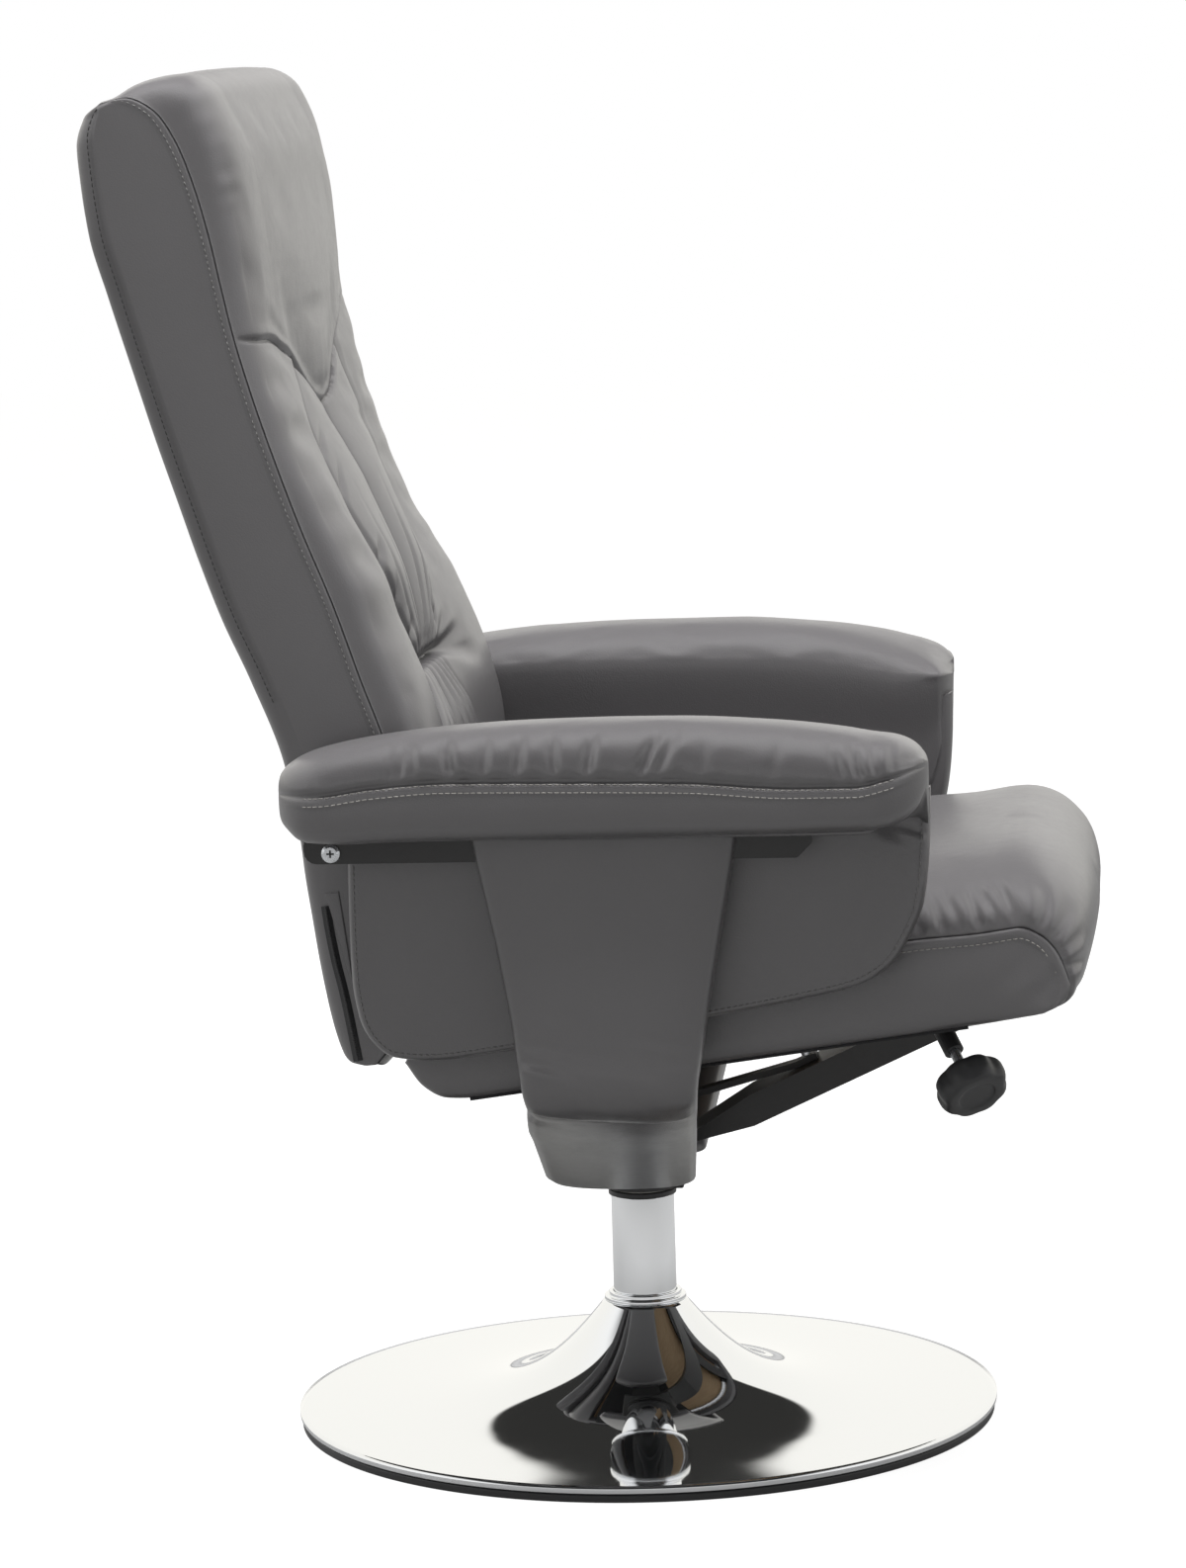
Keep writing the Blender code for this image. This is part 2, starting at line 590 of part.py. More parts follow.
def add_arm(side, tag, finishes, parent):
    """One arm: the steel rail with the back's pivot hole, its board and pad, and the side panel below."""
    tail = PIVOT_X - ARM_RAIL_TAIL
    nose = ARM_RAIL_FRONT - ARM_RAIL_NOSE
    rail = ((tail, ARM_RAIL_BOTTOM), (nose, ARM_RAIL_BOTTOM),
            (ARM_RAIL_FRONT, ARM_RAIL_BOTTOM + ARM_RAIL_NOSE), (ARM_RAIL_FRONT, ARM_RAIL_TOP),
            (tail, ARM_RAIL_TOP))
    faces = sorted((side * RAIL_INNER, side * RAIL_OUTER))
    rail_piece = plate("arm_rail_" + tag, fillet(rail, ARM_RAIL_CORNERS), "Y", *faces,
                       finishes["black_steel"], parent)
    cut(rail_piece, pivot_cutter("rail_hole_" + tag, side, PIVOT_PIN_RADIUS + GAP, finishes, parent))
    half = ARM_WIDTH / 2 - ARM_BOARD_INSET
    edges = sorted((side * (ARM_MIDDLE - half), side * (ARM_MIDDLE + half)))
    ends = (ARM_REAR + 2 * ARM_BOARD_INSET, ARM_FRONT - 2 * ARM_BOARD_INSET)
    low = (ends[0], edges[0], ARM_RAIL_TOP + GAP)
    high = (ends[1], edges[1], BOARD_TOP)
    box("arm_board_" + tag, low, high, finishes["plywood"], parent)
    rings = [mirrored(side, ring) for ring in arm_pad_rings()]
    pad = lofted("arm_pad_" + tag, rings, finishes["grey_leather"], parent)
    grown_low = (low[0] - GAP, low[1] - GAP, low[2] - ARM_SKIRT)
    grown_high = tuple(value + GAP for value in high)
    cut(pad, box("board_pocket_" + tag, grown_low, grown_high, finishes["plywood"], parent))
    rear = PIVOT_X + SPACER_RADIUS + PANEL_PIVOT_CLEARANCE
    panel = ((rear, ARM_RAIL_TOP), (rear, PANEL_LOW_REAR), (PANEL_FRONT, PANEL_LOW_FRONT),
             (PANEL_FRONT, ARM_RAIL_TOP))
    faces = sorted((side * PANEL_INNER, side * PANEL_OUTER))
    plate("side_panel_" + tag, fillet(panel, (0, PANEL_REAR_CORNER, PANEL_FRONT_CORNER, 0)), "Y", *faces,
          finishes["grey_leather"], parent, PANEL_EDGE)


def across_arm(side):
    """A frame on the back's pivot whose Z runs outwards along Y, for pins and holes there."""
    turn = Matrix.Rotation(-side * math.pi / 2, 4, "X")
    return Matrix.Translation((PIVOT_X, 0, PIVOT_Z)) @ turn


def pivot_cutter(name, side, radius, finishes, parent):
    """A round cutter along the back's pivot, from inside the back to outside the arm."""
    profile = rod_profile(radius, BACK_HALF - 2 * BACK_WALL, RAIL_OUTER + ARM_WIDTH)
    place = Matrix.Translation(-parent.location) @ across_arm(side)
    return turned(name, profile, finishes["zinc"], parent, SMALL_SIDES, place)


def slide_levels():
    """Heights above the seat's bottom plane: the board's underside, then rail, shoe and cross bar."""
    board = SEAT_RECESS - GAP - SEAT_BOARD_THICKNESS
    rail_top = board - GAP
    shoe_top = rail_top - SLIDE_RAIL_HEIGHT - GAP
    bar_top = shoe_top - SHOE_WALL - GAP
    return board, rail_top, shoe_top, bar_top


def add_slide(finishes, parent, slide_frame):
    """The strut from the hub to the cross bar, its brace, and the shoes that the seat's rails run in."""
    shoe_top, bar_top = slide_levels()[2:]
    bar_low = bar_top - CROSS_BAR_THICKNESS
    half = CROSS_BAR_WIDTH / 2
    reach = SLIDE_RAIL_MIDDLE + CROSS_BAR_OVERHANG
    box("cross_bar", (CROSS_BAR_X - half, -reach, bar_low), (CROSS_BAR_X + half, reach, bar_top),
        finishes["black_steel"], slide_frame)
    inner = SLIDE_RAIL_WIDTH / 2 + GAP
    outer = inner + SHOE_WALL
    lip = shoe_top + SHOE_LIP
    for tag, side in SIDES:
        channel = ((-outer, shoe_top - SHOE_WALL), (outer, shoe_top - SHOE_WALL), (outer, lip),
                   (inner, lip), (inner, shoe_top), (-inner, shoe_top), (-inner, lip), (-outer, lip))
        outline = [(y + side * SLIDE_RAIL_MIDDLE, z) for y, z in channel]
        ends = (CROSS_BAR_X - SHOE_LENGTH / 2, CROSS_BAR_X + SHOE_LENGTH / 2)
        plate("slide_shoe_" + tag, outline, "X", *ends, finishes["black_plastic"], slide_frame)

    def under_bar(x):
        return SEAT_BOTTOM + x * math.tan(SEAT_TILT) + (bar_low - GAP) / math.cos(SEAT_TILT)

    tail = BAR_WIDTH / 2 + GAP
    heel = HUB_TOP + GAP
    knee = heel + STRUT_KNEE_RISE
    belly = heel + STRUT_BELLY_RISE
    nose = under_bar(STRUT_NOSE) - STRUT_NOSE_DEPTH
    rise = (nose - belly) / (STRUT_NOSE - STRUT_BELLY)

    def strut_top(x):
        return belly + (x - STRUT_BELLY) * rise + STRUT_DEPTH

    outline = ((tail, heel), (STRUT_HEEL, heel), (STRUT_KNEE, knee), (STRUT_BELLY, belly), (STRUT_NOSE, nose),
               (STRUT_NOSE, under_bar(STRUT_NOSE)), (STRUT_SHOULDER, under_bar(STRUT_SHOULDER)),
               (STRUT_SHOULDER, strut_top(STRUT_SHOULDER)), (STRUT_CREST, strut_top(STRUT_CREST)),
               (tail, heel + STRUT_TAIL_DEPTH))
    plate("seat_strut", outline, "Y", -STRUT_WIDTH / 2, STRUT_WIDTH / 2, finishes["black_steel"], parent)
    slant = 1 / math.cos(math.atan(rise))
    tail_top = ((tail, STRUT_CREST), (heel + STRUT_TAIL_DEPTH, strut_top(STRUT_CREST)))
    low = float(np.interp(BRACE_FOOT + BRACE_THICKNESS / 2, *tail_top)) + GAP
    ends = (BRACE_REACH, BRACE_REACH + BRACE_WIDTH)
    seats = [(x, strut_top(x) + GAP + BRACE_THICKNESS / 2 * slant) for x in ends]
    brace = strip_outline([(BRACE_FOOT, low), (BRACE_FOOT, low + BRACE_LIFT), *seats], BRACE_THICKNESS)[0]
    plate("strut_brace", brace, "Y", -BRACE_WIDTH / 2, BRACE_WIDTH / 2, finishes["black_steel"], parent)
    bolt_x = BRACE_REACH + BRACE_WIDTH / 2
    seat_of_head = strut_top(bolt_x) + 2 * GAP + BRACE_THICKNESS * slant
    head = Vector((bolt_x, 0, seat_of_head))
    place = Matrix.Translation(head) @ Matrix.Rotation(-math.atan(rise), 4, "Y")
    turned("brace_bolt", rod_profile(BRACE_BOLT_RADIUS, GAP, BRACE_BOLT_RADIUS), finishes["zinc"], parent,
           SMALL_SIDES, place)


def add_clamp(finishes, clamp_frame, knob_frame, slide_frame):
    """The ferrule under the cross bar, and the knob with its threaded rod, along the clamp's own axis."""
    bar_low = slide_levels()[3] - CROSS_BAR_THICKNESS
    sleeve = sleeve_profile(CLAMP_ROD_RADIUS + GAP, FERRULE_RADIUS, -FERRULE_LENGTH, 0)
    ferrule = turned("clamp_ferrule", sleeve, finishes["black_plastic"], clamp_frame, SMALL_SIDES)
    cut(ferrule, box("bar_clearance", (CROSS_BAR_X - FERRULE_LENGTH, -SEAT_HALF, bar_low - GAP),
                     (CROSS_BAR_X + FERRULE_LENGTH, 0, bar_low + FERRULE_LENGTH), finishes["black_steel"],
                     slide_frame))
    turned("clamp_rod", rod_profile(CLAMP_ROD_RADIUS, -CLAMP_ROD_GRIP, CLAMP_ROD_SHOWN), finishes["zinc"],
           knob_frame, SMALL_SIDES)
    low = CLAMP_ROD_SHOWN + GAP
    turns = np.linspace(0, math.tau, 5 * KNOB_LOBES, endpoint=False)
    scallop = KNOB_SCALLOP * (1 - np.cos(KNOB_LOBES * turns)) / 2
    rings = []
    for size, depth in KNOB_PROFILE:
        radius = KNOB_RADIUS * size - scallop * size**4
        height = np.full(len(turns), low + depth * KNOB_DEPTH)
        rings.append(np.column_stack([radius * np.cos(turns), radius * np.sin(turns), height]))
    lofted("clamp_knob", rings, finishes["black_plastic"], knob_frame)


def seat_cushion_rings():
    """Rings of the seat from rear to front, in its own tilted frame: crowned, boxed, rolled in front."""
    offsets = np.array((0.001, 0.006, 0.016, 0.032, 0.056))
    middle = np.linspace(SEAT_REAR + 0.11, SEAT_FRONT - 0.16, 5)
    places = np.concatenate([SEAT_REAR + offsets, middle, SEAT_FRONT - 0.105, SEAT_FRONT - 0.08,
                             SEAT_FRONT - offsets[::-1]], axis=None)
    rear_rise = round_end(places, SEAT_REAR, SEAT_REAR_ROLL, SEAT_ROLL_POWER)
    lower = round_end(places, SEAT_FRONT, SEAT_FRONT_ROLL, SEAT_ROLL_POWER) * rear_rise
    upper = round_end(places, SEAT_FRONT, SEAT_FRONT_ROLL, SEAT_NOSE_POWER) * rear_rise
    front_width = round_end(places, SEAT_FRONT, SEAT_FRONT_ROLL / 2, SEAT_ROLL_POWER)
    widths = front_width * round_end(places, SEAT_REAR, SEAT_REAR_ROLL, SEAT_NOSE_POWER)
    square = square_ring(7)
    shape = np.where(square[:, 1:] > 0, soften(square, SEAT_TOP_POWER), soften(square, SEAT_UNDER_POWER))
    rings = []
    for place, low, high, width in zip(places, lower, upper, widths):
        half = SEAT_HALF * (1 - SEAT_END_DRAW * (1 - width))
        crown = SEAT_CROWN * (1 - shape[:, 0] ** 2)
        depth = np.where(shape[:, 1] > 0, (SEAT_EDGE_DEPTH - SEAT_GIRTH + crown) * high, SEAT_GIRTH * low)
        level = SEAT_GIRTH + shape[:, 1] * depth
        lean = SEAT_REAR_LEAN * np.clip((SEAT_HOLLOW_REAR + SEAT_BORDER - place) / SEAT_BORDER, 0, 1)
        along = place + lean * np.clip(level / SEAT_GIRTH - 0.5, 0, 1)
        rings.append(np.column_stack([along, shape[:, 0] * half, level]))
    return rings


def seat_underside(place, across):
    """Height of the cushion's underside in the seat's frame, turned up towards its sides and its rear."""
    level = (1 - (np.abs(across) / SEAT_HALF) ** SEAT_UNDER_POWER) ** (1 / SEAT_UNDER_POWER)
    return SEAT_GIRTH * (1 - level * round_end(place, SEAT_REAR, SEAT_REAR_ROLL, SEAT_ROLL_POWER))


def add_seat(finishes, frame):
    """The seat: a cushion hollow underneath, the board and rails in the hollow, and the cloth below."""
    cushion = lofted("seat_cushion", seat_cushion_rings(), finishes["grey_leather"], frame)
    inner = SEAT_HALF - SEAT_BORDER
    cut(cushion, box("seat_hollow", (SEAT_HOLLOW_REAR, -inner, -SEAT_RECESS),
                     (SEAT_HOLLOW_FRONT, inner, SEAT_RECESS), finishes["plywood"], frame))
    board, rail_top = slide_levels()[:2]
    box("seat_board", (SEAT_HOLLOW_REAR + GAP, GAP - inner, board),
        (SEAT_HOLLOW_FRONT - GAP, inner - GAP, SEAT_RECESS - GAP), finishes["plywood"], frame)
    for tag, side in SIDES:
        middle = side * SLIDE_RAIL_MIDDLE
        half = SLIDE_RAIL_WIDTH / 2
        box("slide_rail_" + tag, (SLIDE_RAIL_REAR, middle - half, rail_top - SLIDE_RAIL_HEIGHT),
            (SEAT_HOLLOW_FRONT - 2 * GAP, middle + half, rail_top), finishes["zinc"], frame)
    columns = np.linspace(-1, 1, 17)
    rear = SEAT_HOLLOW_REAR - DUST_COVER_REAR_LAP
    rings = []
    for row in np.linspace(0, 1, 9):
        place = rear + row * (DUST_COVER_FRONT - rear)
        across = columns * (inner + DUST_COVER_LAP)
        sag = DUST_COVER_SAG * math.sin(math.pi * row) * (1 - columns**6)
        level = seat_underside(place, across) - GAP - sag
        top = np.column_stack([np.full(len(columns), place), across, level])
        rings.append(np.concatenate([top, top[::-1] - (0, 0, DUST_COVER_THICKNESS)]))
    lofted("dust_cover", rings, finishes["black_cloth"], frame)


def back_half(heights):
    """Half the back's width at each height, drawn in at its rounded top corners."""
    top = BACK_TOP + BACK_CUSHION_RISE
    return BACK_HALF - BACK_CORNER_DRAW * (1 - round_end(heights, top, BACK_CORNER, 2))


def back_levels():
    """Heights at which both the rear cover and the front cushion have a ring, so that they meet."""
    low = BACK_BOTTOM + np.array((0, BACK_CUSHION_RISE, 0.020, 0.040))
    high = BACK_TOP - np.array((0.034, 0.018, 0.006, 0))
    return np.concatenate([low, np.linspace(low[-1], high[0], 22)[1:-1], high])


def back_cover_rings(wall, front_reach, heights):
    """Level rings of the rear cover, or of the hollow in it where a wall is taken off."""
    rings = []
    for height in heights:
        rear = float(smooth(REAR_EDGE, height)) + wall
        front = float(smooth(FRONT_SEAM, height)) + front_reach
        half = float(back_half(height)) - wall
        edge = min(BACK_EDGE, 0.45 * (front - rear)) if wall == 0 else 0
        seam = edge / 4
        outline = ((rear, -half), (front, -half), (front, half), (rear, half))
        ring = fillet(outline, (edge, seam, seam, edge))
        rings.append([(x - PIVOT_X, y, height - PIVOT_Z) for x, y in ring])
    return rings


def back_cushion_rings():
    """Level rings of the front cushion: flat behind, crowned in front, sewn in under the headrest and round
    the centre panel, and pulled in across the lumbar tuft."""
    top = BACK_TOP + BACK_CUSHION_RISE
    heights = np.append(back_levels()[1:], BACK_TOP + np.array((0.5, 0.9)) * BACK_CUSHION_RISE)
    rings = []
    for height in heights:
        half = float(back_half(height))
        share = np.sin(np.linspace(-math.pi / 2, math.pi / 2, 25))
        y = share * half
        seam = float(smooth(FRONT_SEAM, height)) + GAP
        ends = round_end(height, top, BACK_END_ROLL, 2) * round_end(height, BACK_BOTTOM, BACK_END_ROLL, 2)
        edge = (1 - np.abs(share) ** 4) ** 0.5
        crown = (float(smooth(FRONT_CROWN, height)) + BACK_CUSHION_RISE) * edge * ends
        headrest = HEADREST_EDGE - (HEADREST_EDGE - HEADREST_TIP) * bump(y, 0, CENTRE_PANEL_HALF / 2)
        sewn = CHANNEL_DEPTH * bump(height, headrest, CHANNEL_WIDTH)
        panel_ends = (CENTRE_PANEL_HALF / 2, CENTRE_PANEL_HALF)
        panel = np.interp(height, (LUMBAR_HEIGHT, HEADREST_EDGE), panel_ends)
        inside = float(LUMBAR_HEIGHT < height < HEADREST_EDGE)
        sewn = np.maximum(sewn, inside * CHANNEL_DEPTH * bump(np.abs(y), panel, CHANNEL_WIDTH))
        tuft = LUMBAR_DEPTH * bump(height, LUMBAR_HEIGHT, CHANNEL_WIDTH) * bump(y, 0, CENTRE_PANEL_HALF)
        sewn = np.maximum(sewn, tuft)
        depth = np.maximum(crown - sewn * edge, BACK_LEAST_DEPTH)
        front = np.column_stack([seam + depth, y])
        behind = np.column_stack([np.full(7, seam), np.linspace(half, -half, 7)])
        ring = np.concatenate([front, behind])
        level = np.full(len(ring), height - PIVOT_Z)
        rings.append(np.column_stack([ring[:, 0] - PIVOT_X, ring[:, 1], level]))
    return rings


def stile_x(heights):
    """The x of the stiles' centre line, against the inside of the cover's rear wall."""
    return smooth(REAR_EDGE, heights) + BACK_WALL + STILE_RADIUS + STILE_CLEARANCE


def add_back(finishes, parent):
    """The back: front cushion, rear cover, the steel frame inside it, and the pivot on each side."""
    lofted("back_cushion", back_cushion_rings(), finishes["grey_leather"], parent)
    cover = lofted("back_cover", back_cover_rings(0, 0, back_levels()), finishes["grey_leather"], parent)
    hollow_levels = np.linspace(BACK_BOTTOM + 1.5 * BACK_WALL, BACK_TOP - 2 * BACK_WALL, 18)
    hollow = back_cover_rings(BACK_WALL, BACK_WALL, hollow_levels)
    cut(cover, lofted("cover_hollow", hollow, finishes["plywood"], parent))
    wall = BACK_HALF - BACK_WALL - GAP
    stile_y = wall - PIVOT_PLATE_THICKNESS - GAP - STILE_RADIUS
    turns = np.linspace(0, math.tau, 10, endpoint=False)
    heights = np.linspace(STILE_LOW, STILE_HIGH, 13)
    for tag, side in SIDES:
        rings = []
        for height, x in zip(heights, stile_x(heights)):
            circle = np.column_stack([np.cos(turns), np.sin(turns), np.zeros(10)]) * STILE_RADIUS
            rings.append(circle + (x - PIVOT_X, side * stile_y, height - PIVOT_Z))
        lofted("back_stile_" + tag, rings, finishes["black_steel"], parent)
        faces = sorted((side * wall, side * (wall - PIVOT_PLATE_THICKNESS)))
        half = PIVOT_PLATE_LENGTH / 2
        pivot_plate = box("pivot_plate_" + tag, (-PIVOT_PLATE_REAR, faces[0], -half),
                          (PIVOT_PLATE_FRONT, faces[1], half), finishes["black_steel"], parent)
        hole = pivot_cutter("pivot_hole_" + tag, side, PIVOT_PIN_RADIUS + GAP, finishes, parent)
        cut(pivot_plate, hole)
        cut(cover, hole)
        place = Matrix.Translation(-parent.location) @ across_arm(side)
        spacer = sleeve_profile(PIVOT_PIN_RADIUS + GAP, SPACER_RADIUS, BACK_HALF + GAP, RAIL_INNER - GAP)
        turned("pivot_spacer_" + tag, spacer, finishes["zinc"], parent, SMALL_SIDES, place)
        head = RAIL_OUTER + GAP
        screw = ((0, wall - PIVOT_PLATE_THICKNESS), (PIVOT_PIN_RADIUS, wall - PIVOT_PLATE_THICKNESS),
                 (PIVOT_PIN_RADIUS, head), (PIVOT_HEAD_RADIUS, head),
                 (PIVOT_HEAD_RADIUS, head + PIVOT_HEAD_HEIGHT / 2),
                 (PIVOT_HEAD_RADIUS * 0.7, head + PIVOT_HEAD_HEIGHT), (0, head + PIVOT_HEAD_HEIGHT))
        turned("pivot_screw_" + tag, screw, finishes["zinc"], parent, SMALL_SIDES, place)
        zip_faces = sorted((side * (BACK_HALF + GAP), side * (BACK_HALF + GAP + ZIP_THICKNESS)))
        low, high = ZIP_LOW, ZIP_LOW + ZIP_LENGTH
        edges = [float(smooth(REAR_EDGE, height)) + BACK_EDGE - PIVOT_X for height in (low, high)]
        zip_line = ((edges[0], low - PIVOT_Z), (edges[0] + ZIP_WIDTH, low - PIVOT_Z),
                    (edges[1] + ZIP_WIDTH, high - PIVOT_Z), (edges[1], high - PIVOT_Z))
        plate("cover_zip_" + tag, zip_line, "Y", *zip_faces, finishes["black_plastic"], parent)
    reach = stile_y - STILE_RADIUS - GAP
    for name, height in zip(("low", "middle", "top"), BACK_RAIL_HEIGHTS):
        x = float(stile_x(height)) - PIVOT_X
        half = BACK_RAIL_THICKNESS / 2
        level = height - PIVOT_Z
        box("back_rail_" + name, (x - half, -reach, level - BACK_RAIL_WIDTH / 2),
            (x + half, reach, level + BACK_RAIL_WIDTH / 2), finishes["black_steel"], parent)


def main():
    for old in list(bpy.data.objects):
        bpy.data.objects.remove(old)
    finishes = {
        "grey_leather": surface("grey_leather", (0.115, 0.113, 0.110), 0.42),
        "chrome": surface("chrome", (0.86, 0.87, 0.88), 0.06, 1.0),
        "black_steel": surface("black_steel", (0.018, 0.018, 0.018), 0.45, 0.2),
        "black_plastic": surface("black_plastic", (0.016, 0.016, 0.017), 0.5),
        "zinc": surface("zinc", (0.62, 0.63, 0.64), 0.28, 1.0),
        "plywood": surface("plywood", (0.48, 0.33, 0.19), 0.7),
        "nylon": surface("nylon", (0.78, 0.77, 0.72), 0.55),
        "black_cloth": surface("black_cloth", (0.014, 0.014, 0.015), 0.9),
    }
    add_pedestal(finishes, None)
    swivel_axis = axis_empty("swivel_axis", (0, 0, 0))
    slide_frame = axis_empty("slide_frame", (0, 0, SEAT_BOTTOM), swivel_axis)
    slide_frame.rotation_euler = (0, -SEAT_TILT, 0)
    seat_frame = axis_empty("seat_frame", (0, 0, SEAT_BOTTOM), swivel_axis)
    seat_frame.rotation_euler = (0, -SEAT_TILT, 0)
    recline_axis = axis_empty("recline_axis", (PIVOT_X, 0, PIVOT_Z), swivel_axis)
    clamp_frame = axis_empty("clamp_frame", CLAMP_FOOT, swivel_axis)
    knob_frame = axis_empty("knob_frame", CLAMP_FOOT, swivel_axis)
    for frame in (clamp_frame, knob_frame):
        frame.rotation_mode = "QUATERNION"
        frame.rotation_quaternion = CLAMP_AXIS.to_track_quat("Z", "Y")
    add_hub(finishes, swivel_axis)
    for tag, side in SIDES:
        add_leg(side, tag, finishes, swivel_axis)
        add_arm(side, tag, finishes, swivel_axis)
    add_slide(finishes, swivel_axis, slide_frame)
    add_clamp(finishes, clamp_frame, knob_frame, slide_frame)
    add_seat(finishes, seat_frame)
    add_back(finishes, recline_axis)


main()
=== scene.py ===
"""Swivel recliner dressed for its picture: leather, seams, stitches, chrome, steel and a white studio."""

import json
import math

import bmesh
import bpy
import numpy as np
from mathutils import Matrix, Vector


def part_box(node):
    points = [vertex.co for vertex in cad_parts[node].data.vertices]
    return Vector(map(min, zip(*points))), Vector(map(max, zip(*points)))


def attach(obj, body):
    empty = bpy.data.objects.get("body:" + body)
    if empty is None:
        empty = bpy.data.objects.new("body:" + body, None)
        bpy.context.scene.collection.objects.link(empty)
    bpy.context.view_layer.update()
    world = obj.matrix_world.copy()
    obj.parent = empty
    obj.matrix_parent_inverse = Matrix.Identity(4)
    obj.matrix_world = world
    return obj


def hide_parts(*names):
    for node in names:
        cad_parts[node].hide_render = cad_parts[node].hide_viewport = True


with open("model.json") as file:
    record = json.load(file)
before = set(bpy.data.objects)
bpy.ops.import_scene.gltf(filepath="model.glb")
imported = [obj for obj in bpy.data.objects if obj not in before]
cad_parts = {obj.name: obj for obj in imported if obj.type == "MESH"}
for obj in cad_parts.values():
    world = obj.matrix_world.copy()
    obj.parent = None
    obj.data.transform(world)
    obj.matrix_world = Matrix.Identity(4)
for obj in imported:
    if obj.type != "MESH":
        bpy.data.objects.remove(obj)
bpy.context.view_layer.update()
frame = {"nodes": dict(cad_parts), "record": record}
ARM_PAD_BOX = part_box("arm_pad_L")
SIDE_PANEL_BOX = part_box("side_panel_L")

bl_info = {
    "name": "Swivel recliner",
    "version": (1, 0, 0),
    "blender": (4, 5, 0),
    "location": "View3D > Sidebar > Recliner",
    "description": "Builds the leather, sewing, chrome and studio of a swivel recliner round its solid parts",
    "category": "Add Mesh",
}

# Side view of the back, as (x, z) points from its foot to its top
BACK_FRONT_SEAM = ((-0.172, 0.3300), (-0.160, 0.346), (-0.150, 0.375), (-0.143, 0.430), (-0.146, 0.520),
                   (-0.158, 0.572), (-0.174, 0.618), (-0.193, 0.675), (-0.215, 0.732), (-0.230, 0.775),
                   (-0.246, 0.825), (-0.259, 0.872), (-0.267, 0.909), (-0.274, 0.944), (-0.284, 0.983),
                   (-0.297, 1.018), (-0.313, 1.041), (-0.333, 1.050), (-0.352, 1.046))
BACK_REAR_EDGE = ((-0.184, 0.3290), (-0.1930, 0.3300), (-0.1990, 0.3350), (-0.2040, 0.3480),
                  (-0.2080, 0.3640), (-0.2120, 0.3850), (-0.2160, 0.4100), (-0.2200, 0.4400),
                  (-0.2240, 0.4700), (-0.2270, 0.5000), (-0.237, 0.556), (-0.260, 0.619), (-0.279, 0.663),
                  (-0.295, 0.708), (-0.309, 0.752), (-0.323, 0.796), (-0.336, 0.840), (-0.355, 0.905),
                  (-0.367, 0.949), (-0.372, 0.990), (-0.3735, 1.014), (-0.367, 1.035), (-0.352, 1.046))
# Forms of the back's front, each as (height, value) points: swell of the bolsters, swell of the headrest,
# swell along the middle crease of the centre panel, from the middle to the panel's side creases, how far
# these lie under the bolsters, from the middle to the bolsters' inner edges, and height of the panel's two
# rolls. The left bolster lies flatter over the lumbar by the loss given
BOLSTER_SWELL = ((0.330, 0.006), (0.430, 0.019), (0.520, 0.0285), (0.570, 0.0325), (0.600, 0.0325),
                 (0.625, 0.0312), (0.645, 0.0288), (0.680, 0.0262), (0.710, 0.0225), (0.740, 0.0188),
                 (0.770, 0.0150), (0.795, 0.0132), (0.828, 0.0146), (0.857, 0.0165), (1.060, 0.0180))
HEADREST_SWELL = ((0.330, 0.0200), (0.780, 0.0200), (0.872, 0.0230), (0.890, 0.0262), (0.909, 0.0280),
                  (0.951, 0.0296), (0.970, 0.0314), (0.983, 0.0335), (1.000, 0.0362), (1.018, 0.0380),
                  (1.041, 0.0400), (1.050, 0.0395), (1.060, 0.0340))
LEFT_LOSS = ((0.330, 0.0), (0.640, 0.0005), (0.664, 0.0022), (0.680, 0.0065), (0.697, 0.0086),
             (0.713, 0.0086), (0.730, 0.0072), (0.746, 0.0058), (0.762, 0.0022), (0.778, 0.0016),
             (0.795, -0.0012), (0.870, -0.0010))
CREASE_SWELL = ((0.330, 0.003), (0.450, 0.008), (0.550, 0.013), (0.590, 0.0095), (0.6015, 0.0080),
                (0.620, 0.0105), (0.650, 0.0135), (0.690, 0.0142), (0.740, 0.0140), (0.770, 0.0095),
                (0.795, 0.0050), (0.815, 0.0035), (0.870, 0.0035))
PANEL_HALF = ((0.330, 0.150), (0.450, 0.120), (0.550, 0.080), (0.600, 0.052), (0.630, 0.075), (0.655, 0.096),
              (0.690, 0.120), (0.740, 0.138), (0.795, 0.136), (0.830, 0.118), (0.870, 0.105))
PANEL_DROP = ((0.330, 0.002), (0.450, 0.008), (0.550, 0.015), (0.600, 0.0200), (0.630, 0.0150),
              (0.660, 0.0100), (0.700, 0.0065), (0.800, 0.0055), (0.870, 0.0050))
INNER_EDGE = ((0.330, 0.185), (0.620, 0.185), (0.680, 0.180), (0.710, 0.172), (0.740, 0.160), (0.795, 0.152),
              (0.830, 0.136), (0.870, 0.125))
ROLL_HEIGHT = ((0.330, 0.0), (0.420, 0.003), (0.540, 0.007), (0.585, 0.0035), (0.600, 0.0010), (0.625, 0.006),
               (0.680, 0.0090), (0.760, 0.0090), (0.820, 0.0060), (0.860, 0.0030))
# Lower edge of the headrest, as (distance from the middle, height) points
HEADREST_EDGE = ((0.0, 0.8060), (0.030, 0.8095), (0.060, 0.820), (0.090, 0.834), (0.120, 0.846),
                 (0.160, 0.8555), (0.185, 0.8625), (0.205, 0.8655), (0.225, 0.8665), (0.240, 0.8690),
                 (0.250, 0.8725))
# Zips in the lower ends of the back's sides, as (x, z) points
ZIP_LINE = ((-0.2070, 0.4503), (-0.2052, 0.4354), (-0.2010, 0.4099), (-0.1955, 0.3844), (-0.1900, 0.3529),
            (-0.1868, 0.3330))
